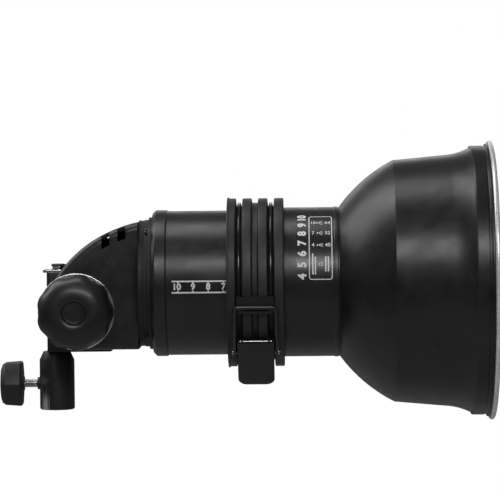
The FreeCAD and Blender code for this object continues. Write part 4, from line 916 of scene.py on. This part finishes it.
# ---- Lamps and what is behind them ----
def make_lamps():
    low, high = low_high("glass_cover")
    cover_r = (high.y - low.y) / 2
    wall = 2.0 * MM
    dome_x = high.x - cover_r
    inner_r = cover_r - wall

    def dome(radius, tip_x):
        slant = radius * math.sqrt(0.5)
        curve = arc((dome_x, radius), (dome_x + slant, slant), (tip_x, 0), 36)
        curve[-1].y = 0
        return curve
    outer, inner = dome(cover_r, high.x), dome(inner_r, dome_x + inner_r)
    profile = [Vector((low.x, inner_r)), Vector((low.x, cover_r))] + outer + inner[::-1]
    stand_in(lathe("frosted_glass_cover", profile, AXIS_FOOT, steps=144), "glass_cover")

    low, high = low_high("flash_tube")
    ring_x = high.x - 4.5 * MM
    ring_r, tube_r, half_gap = 29 * MM, 4.5 * MM, 12 * MM
    open_turn = math.asin(half_gap / ring_r)
    spots = 72
    path = []
    for step in range(spots + 1):
        turn = -math.pi / 2 + open_turn + (2 * math.pi - 2 * open_turn) * step / spots
        path.append(Vector((ring_x, ring_r * math.cos(turn), AXIS_Z + ring_r * math.sin(turn))))
    legs = [Vector((low.x, spot.y, spot.z)) for spot in (path[0], path[-1])]
    tube_path = bent([legs[0]] + path + [legs[1]], 6 * MM)
    stand_in(wire("quartz_flash_tube", tube_path, tube_r, 24), "flash_tube")
    helix = []
    turns = 26
    for step in range(turns * 12 + 1):
        share = step / (turns * 12)
        turn = -math.pi / 2 + open_turn + (2 * math.pi - 2 * open_turn) * share
        roll = 2 * math.pi * turns * share
        reach = ring_r + (tube_r + 0.25 * MM) * math.cos(roll)
        helix.append(Vector((ring_x + (tube_r + 0.25 * MM) * math.sin(roll), reach * math.cos(turn),
                             AXIS_Z + reach * math.sin(turn))))
    dress(wire("trigger_wire", helix, 0.25 * MM, 6), "head", "steel")
    for index, leg in enumerate(legs):
        rod = [leg + X * 1.0 * MM, leg + X * 13 * MM]
        dress(wire("flash_electrode_%d" % index, rod, 1.4 * MM), "head", "steel", "tungsten")

    low, high = low_high("modelling_lamp")
    lamp_r = (high.y - low.y) / 2
    front = low_high("lamp_holder")[1].x
    tip = arc((high.x - lamp_r, lamp_r), (high.x - 0.293 * lamp_r, 0.707 * lamp_r), (high.x, 0), 14)
    tip[-1].y = 0
    bulb = [Vector((front - 6 * MM, 0)), Vector((front - 6 * MM, 5.6 * MM)), Vector((front, 5.8 * MM)),
            Vector((front + 4 * MM, lamp_r))] + tip
    stand_in(lathe("halogen_lamp_bulb", bulb, AXIS_FOOT, steps=72, sharp=math.radians(60)), "modelling_lamp")
    coil = []
    turns = 12
    for step in range(turns * 10 + 1):
        share = step / (turns * 10)
        roll = 2 * math.pi * turns * share
        coil.append(Vector((front + (8 + 16 * share) * MM, 1.9 * MM * math.cos(roll),
                            AXIS_Z + 1.9 * MM * math.sin(roll))))
    dress(wire("lamp_filament", coil, 0.28 * MM, 6), "head", "steel", "tungsten")
    for side in (-1, 1):
        lead = [Vector((front - 2 * MM, side * 3.2 * MM, AXIS_Z)),
                Vector((front + 5 * MM, side * 3.2 * MM, AXIS_Z)),
                Vector((front + (8 if side < 0 else 24) * MM, side * 1.9 * MM, AXIS_Z))]
        dress(wire("lamp_lead_%s" % ("right" if side < 0 else "left"), smooth_path(lead), 0.4 * MM, 8),
              "head", "steel", "tungsten")
    low, high = low_high("trigger_coil")
    coil_r = (high.y - low.y) / 2
    centre = middle("trigger_coil")
    ribs = 20
    winding_end = high.x - 4 * MM
    profile = [Vector((low.x, 0))]
    for rib in range(ribs * 4 + 1):
        share = rib / (ribs * 4)
        profile.append(Vector((low.x + (winding_end - low.x) * share,
                               coil_r - 0.3 * MM * (1 - abs(math.sin(math.pi * ribs * share))))))
    profile += [Vector((winding_end, 4 * MM)), Vector((high.x, 4 * MM)), Vector((high.x, 0))]
    coil_foot = Vector((0, centre.y, centre.z))
    stand_in(lathe("wound_trigger_coil", profile, coil_foot, X, 72, None, math.radians(70)), "trigger_coil")


# ---- Printing ----
SCALE_FIRST_X = 8.3 * MM     # ring's front to the scale's largest number
SCALE_PITCH = 10.3 * MM
SCALE_HIGH, SCALE_LOW = 10, 4
SCALE_TOP, SCALE_BOTTOM = 3.0 * MM, -4.7 * MM
SCALE_LINE = 1.0 * MM
PRINT_DEPTH = 0.07 * MM


def make_zoom_scale():
    first = low_high("barrel_tube")[0].x + SCALE_FIRST_X
    last = first + (SCALE_HIGH - SCALE_LOW) * SCALE_PITCH
    centre = (SCALE_TOP + SCALE_BOTTOM) / 2
    shapes = []
    for edge, inward in ((SCALE_TOP, -1), (SCALE_BOTTOM, 1)):
        shapes.append(bar(first - 4.2 * MM, last + 4 * MM, edge - SCALE_LINE / 2, edge + SCALE_LINE / 2))
        for index in range(SCALE_HIGH - SCALE_LOW + 1):
            x = first + index * SCALE_PITCH
            y0, y1 = sorted((edge, edge + inward * 1.35 * MM))
            shapes.append(bar(x - 0.5 * MM, x + 0.5 * MM, y0, y1))
    for index in range(SCALE_HIGH - SCALE_LOW + 1):
        number = glyph(str(SCALE_HIGH - index), 5.9 * MM, 0.035)
        nudge = -0.8 * MM if SCALE_HIGH - index >= 10 else 0
        shapes.append(shifted(number, first + index * SCALE_PITCH + nudge, centre))
    printed("barrel_zoom_scale", shapes, BARREL_R, PRINT_DEPTH, "head", "barrel_black", "print_white")


FILM_FIRST_X = 8.4 * MM      # collar's front edge to the label
FILM_W = 26.5 * MM
FILM_LOW, FILM_HIGH = -5 * MM, 62 * MM
FILM_T = 0.06 * MM


def stroke(x0, y0, x1, y1, width):
    """Short straight line of even width."""
    along = Vector((x1 - x0, y1 - y0)).normalized() * width / 2
    points = [(x0 + along.y, y0 - along.x), (x1 + along.y, y1 - along.x),
              (x1 - along.y, y1 + along.x), (x0 - along.y, y0 + along.x)]
    return points, [(0, 1, 2, 3)]


def beam_mark(x, y, half_angle):
    """Small sign of a beam that opens to the right."""
    shapes = []
    for turn in (-half_angle, 0, half_angle):
        angle = math.radians(turn)
        shapes.append(stroke(x - 1.9 * MM + 0.9 * MM * math.cos(angle), y + 0.9 * MM * math.sin(angle),
                             x - 1.9 * MM + 3.7 * MM * math.cos(angle), y + 3.7 * MM * math.sin(angle),
                             0.35 * MM))
    shapes.append(bar(x - 2.4 * MM, x - 1.7 * MM, y - 0.8 * MM, y + 0.8 * MM))
    return shapes


def make_neck_label():
    x0 = low_high("rubber_collar")[1].x + FILM_FIRST_X
    film = [bar(x0, x0 + FILM_W, FILM_LOW, FILM_HIGH)]
    printed("label_film", film, NECK_R, FILM_T, "reflector", "reflector_black", "label_film")
    strip_x = x0 + 4.4 * MM
    shapes = []
    for index, number in enumerate(range(SCALE_LOW, SCALE_HIGH + 1)):
        shapes.append(shifted(glyph(str(number), 7.6 * MM, 0.045), strip_x, (5.6 + 8.0 * index) * MM, False))
    frame_x0, frame_x1 = x0 + 9.1 * MM, x0 + 24.5 * MM
    shapes.append(rounded_frame(frame_x0, frame_x1, 3.6 * MM, 55.4 * MM, 1.6 * MM, 0.6 * MM))
    centre = (frame_x0 + frame_x1) / 2
    for number, half_angle, y in ((SCALE_HIGH, 32, 48 * MM), (7, 26, 38 * MM), (SCALE_LOW, 20, 28 * MM)):
        shapes.append(shifted(glyph(str(number), 3.9 * MM, 0.012), centre - 5 * MM, y))
        shapes.append(shifted(glyph(str(2 * half_angle), 3.9 * MM, 0.012), centre + 4.9 * MM, y))
        shapes += beam_mark(centre, y, half_angle)
    for offset, low, high in ((-5.4, 7, 21.6), (-3.6, 7, 19.4), (3.4, 9, 19.4), (5.2, 9, 19.4)):
        shapes.append(bar(centre + (offset - 0.45) * MM, centre + (offset + 0.45) * MM, low * MM, high * MM))
    ring = [(centre + 1.2 * MM * math.cos(math.radians(turn)), (14 + 1.2 * math.sin(math.radians(turn))) * MM)
            for turn in range(0, 360, 30)]
    shapes.append(ribbon(ring, 0.4 * MM))
    printed("label_print", shapes, NECK_R + FILM_T, PRINT_DEPTH, "reflector", "reflector_black",
            "print_white")


def make_vent_baffle():
    """Upright dark plate inside the shells, so that no light passes straight through the vents."""
    outline = [(29, 100), (60, 100), (60, 129), (50, 127.5), (40, 121.5), (29, 112)]
    half_t = 0.4 * MM
    verts = [Vector((x * MM, y, z * MM)) for y in (-half_t, half_t) for x, z in outline]
    count = len(outline)
    faces = [list(range(count))[::-1], list(range(count, 2 * count))]
    for corner in range(count):
        nxt = (corner + 1) % count
        faces.append((corner, nxt, count + nxt, count + corner))
    dress(add_piece("vent_baffle", verts, faces), "head", "inner_plastic")


# ---- Build ----
for make in (make_flange, make_barrel, make_reflector, make_front_edge, make_collar, make_tilt_knob,
             make_tilt_disc, make_lock_knob, make_lock_screw, make_screws, make_bail, make_clamp_wires,
             make_lamps, make_zoom_scale, make_neck_label, make_vent_baffle):
    make()
EDGES = {"housing_right": 0.5 * MM, "housing_left": 0.5 * MM, "tilt_bracket": 0.6 * MM,
         "latch_lever": 0.35 * MM, "stand_socket": 0.3 * MM}
DARKENED = {"lock_insert": "cast_black"}
for name, node in frame["nodes"].items():
    if not node.hide_render:
        refined(name, EDGES.get(name, 0.2 * MM), DARKENED.get(name))


# ---- Stage ----
def when_seen(tree, unseen, seen):
    """Value that is higher where the lens sees a surface than where it only lights the object."""
    node = tree.nodes.new("ShaderNodeMapRange")
    node.inputs["To Min"].default_value = unseen
    node.inputs["To Max"].default_value = seen
    tree.links.new(tree.nodes.new("ShaderNodeLightPath").outputs["Is Camera Ray"], node.inputs["Value"])
    return node.outputs["Result"]


def add_floor():
    mesh = bpy.data.meshes.new("floor")
    reach = 40.0
    mesh.from_pydata([(-reach, -reach, 0), (reach, -reach, 0), (reach, reach, 0), (-reach, reach, 0)], [],
                     [(0, 1, 2, 3)])
    floor = bpy.data.objects.new("floor", mesh)
    floor.location.z = CAD_BOX[0].z - 0.45
    material, tree, shader, place = start_material("floor")
    tree.links.new(mixed(tree, noise(tree, place, 3), (0.42, 0.42, 0.42), (0.45, 0.45, 0.45)),
                   shader.inputs["Base Color"])
    shader.inputs["Roughness"].default_value = 0.9
    shader.inputs["Emission Color"].default_value = (1, 1, 1, 1)
    tree.links.new(when_seen(tree, 0.0, 0.95), shader.inputs["Emission Strength"])
    mesh.materials.append(material)
    bpy.context.scene.collection.objects.link(floor)


def add_light(name, place, target, size_x, size_y, watts):
    light = bpy.data.lights.new(name, "AREA")
    light.shape = "RECTANGLE"
    light.size = size_x
    light.size_y = size_y
    light.energy = watts
    lamp = bpy.data.objects.new(name, light)
    lamp.location = place
    lamp.rotation_euler = (Vector(target) - Vector(place)).to_track_quat("-Z", "Y").to_euler()
    bpy.context.scene.collection.objects.link(lamp)


def light_world():
    """Pale surroundings, seen by the lens as white and by the object as a dim even glow."""
    world = bpy.data.worlds.new("studio")
    world.use_nodes = True
    bpy.context.scene.world = world
    tree = world.node_tree
    glow = tree.nodes["Background"]
    glow.inputs["Color"].default_value = (1, 1, 1, 1)
    tree.links.new(when_seen(tree, 0.12, 1.0), glow.inputs["Strength"])


def add_camera():
    """Long lens, a little above the axis; the beam rises slightly to the right in the picture."""
    place = Vector((0.1704, -2.082, 0.1716))
    aim = Vector((0.1351, 0, 0.1094))
    roll = math.radians(0.59)
    back = (place - aim).normalized()
    right = Vector((math.sin(roll), 0, math.cos(roll))).cross(back).normalized()
    up = back.cross(right)
    lens = bpy.data.cameras.new("camera")
    lens.lens = 216
    lens.sensor_width = 36
    lens.clip_start = 0.05
    lens.clip_end = 200
    camera = bpy.data.objects.new("camera", lens)
    camera.matrix_world = Matrix((
        (right.x, up.x, back.x, place.x), (right.y, up.y, back.y, place.y),
        (right.z, up.z, back.z, place.z), (0, 0, 0, 1)))
    bpy.context.scene.collection.objects.link(camera)
    bpy.context.scene.camera = camera


CENTRE = (CAD_BOX[0] + CAD_BOX[1]) / 2
# Name, place and target from the object's centre, width, height, watts
LIGHTS = (
    ("overhead_softbox", (-0.4, 0.12, 1.15), (-0.4, 0, 0), 0.9, 0.5, 4.4),
    ("front_softbox", (0.12, -1.6, 1.0), (0.12, 0, 0), 1.4, 0.45, 12.5),
    ("rear_softbox", (-1.1, 0.42, 0.98), (0, 0, 0), 1.0, 1.0, 7),
    ("back_softbox", (0.1, 1.7, 0.6), (0, 0, 0), 1.6, 0.5, 2.5))
add_floor()
for name, place, target, size_x, size_y, watts in LIGHTS:
    add_light(name, CENTRE + Vector(place), CENTRE + Vector(target), size_x, size_y, watts)
light_world()
add_camera()
bpy.context.scene.view_settings.view_transform = "Standard"
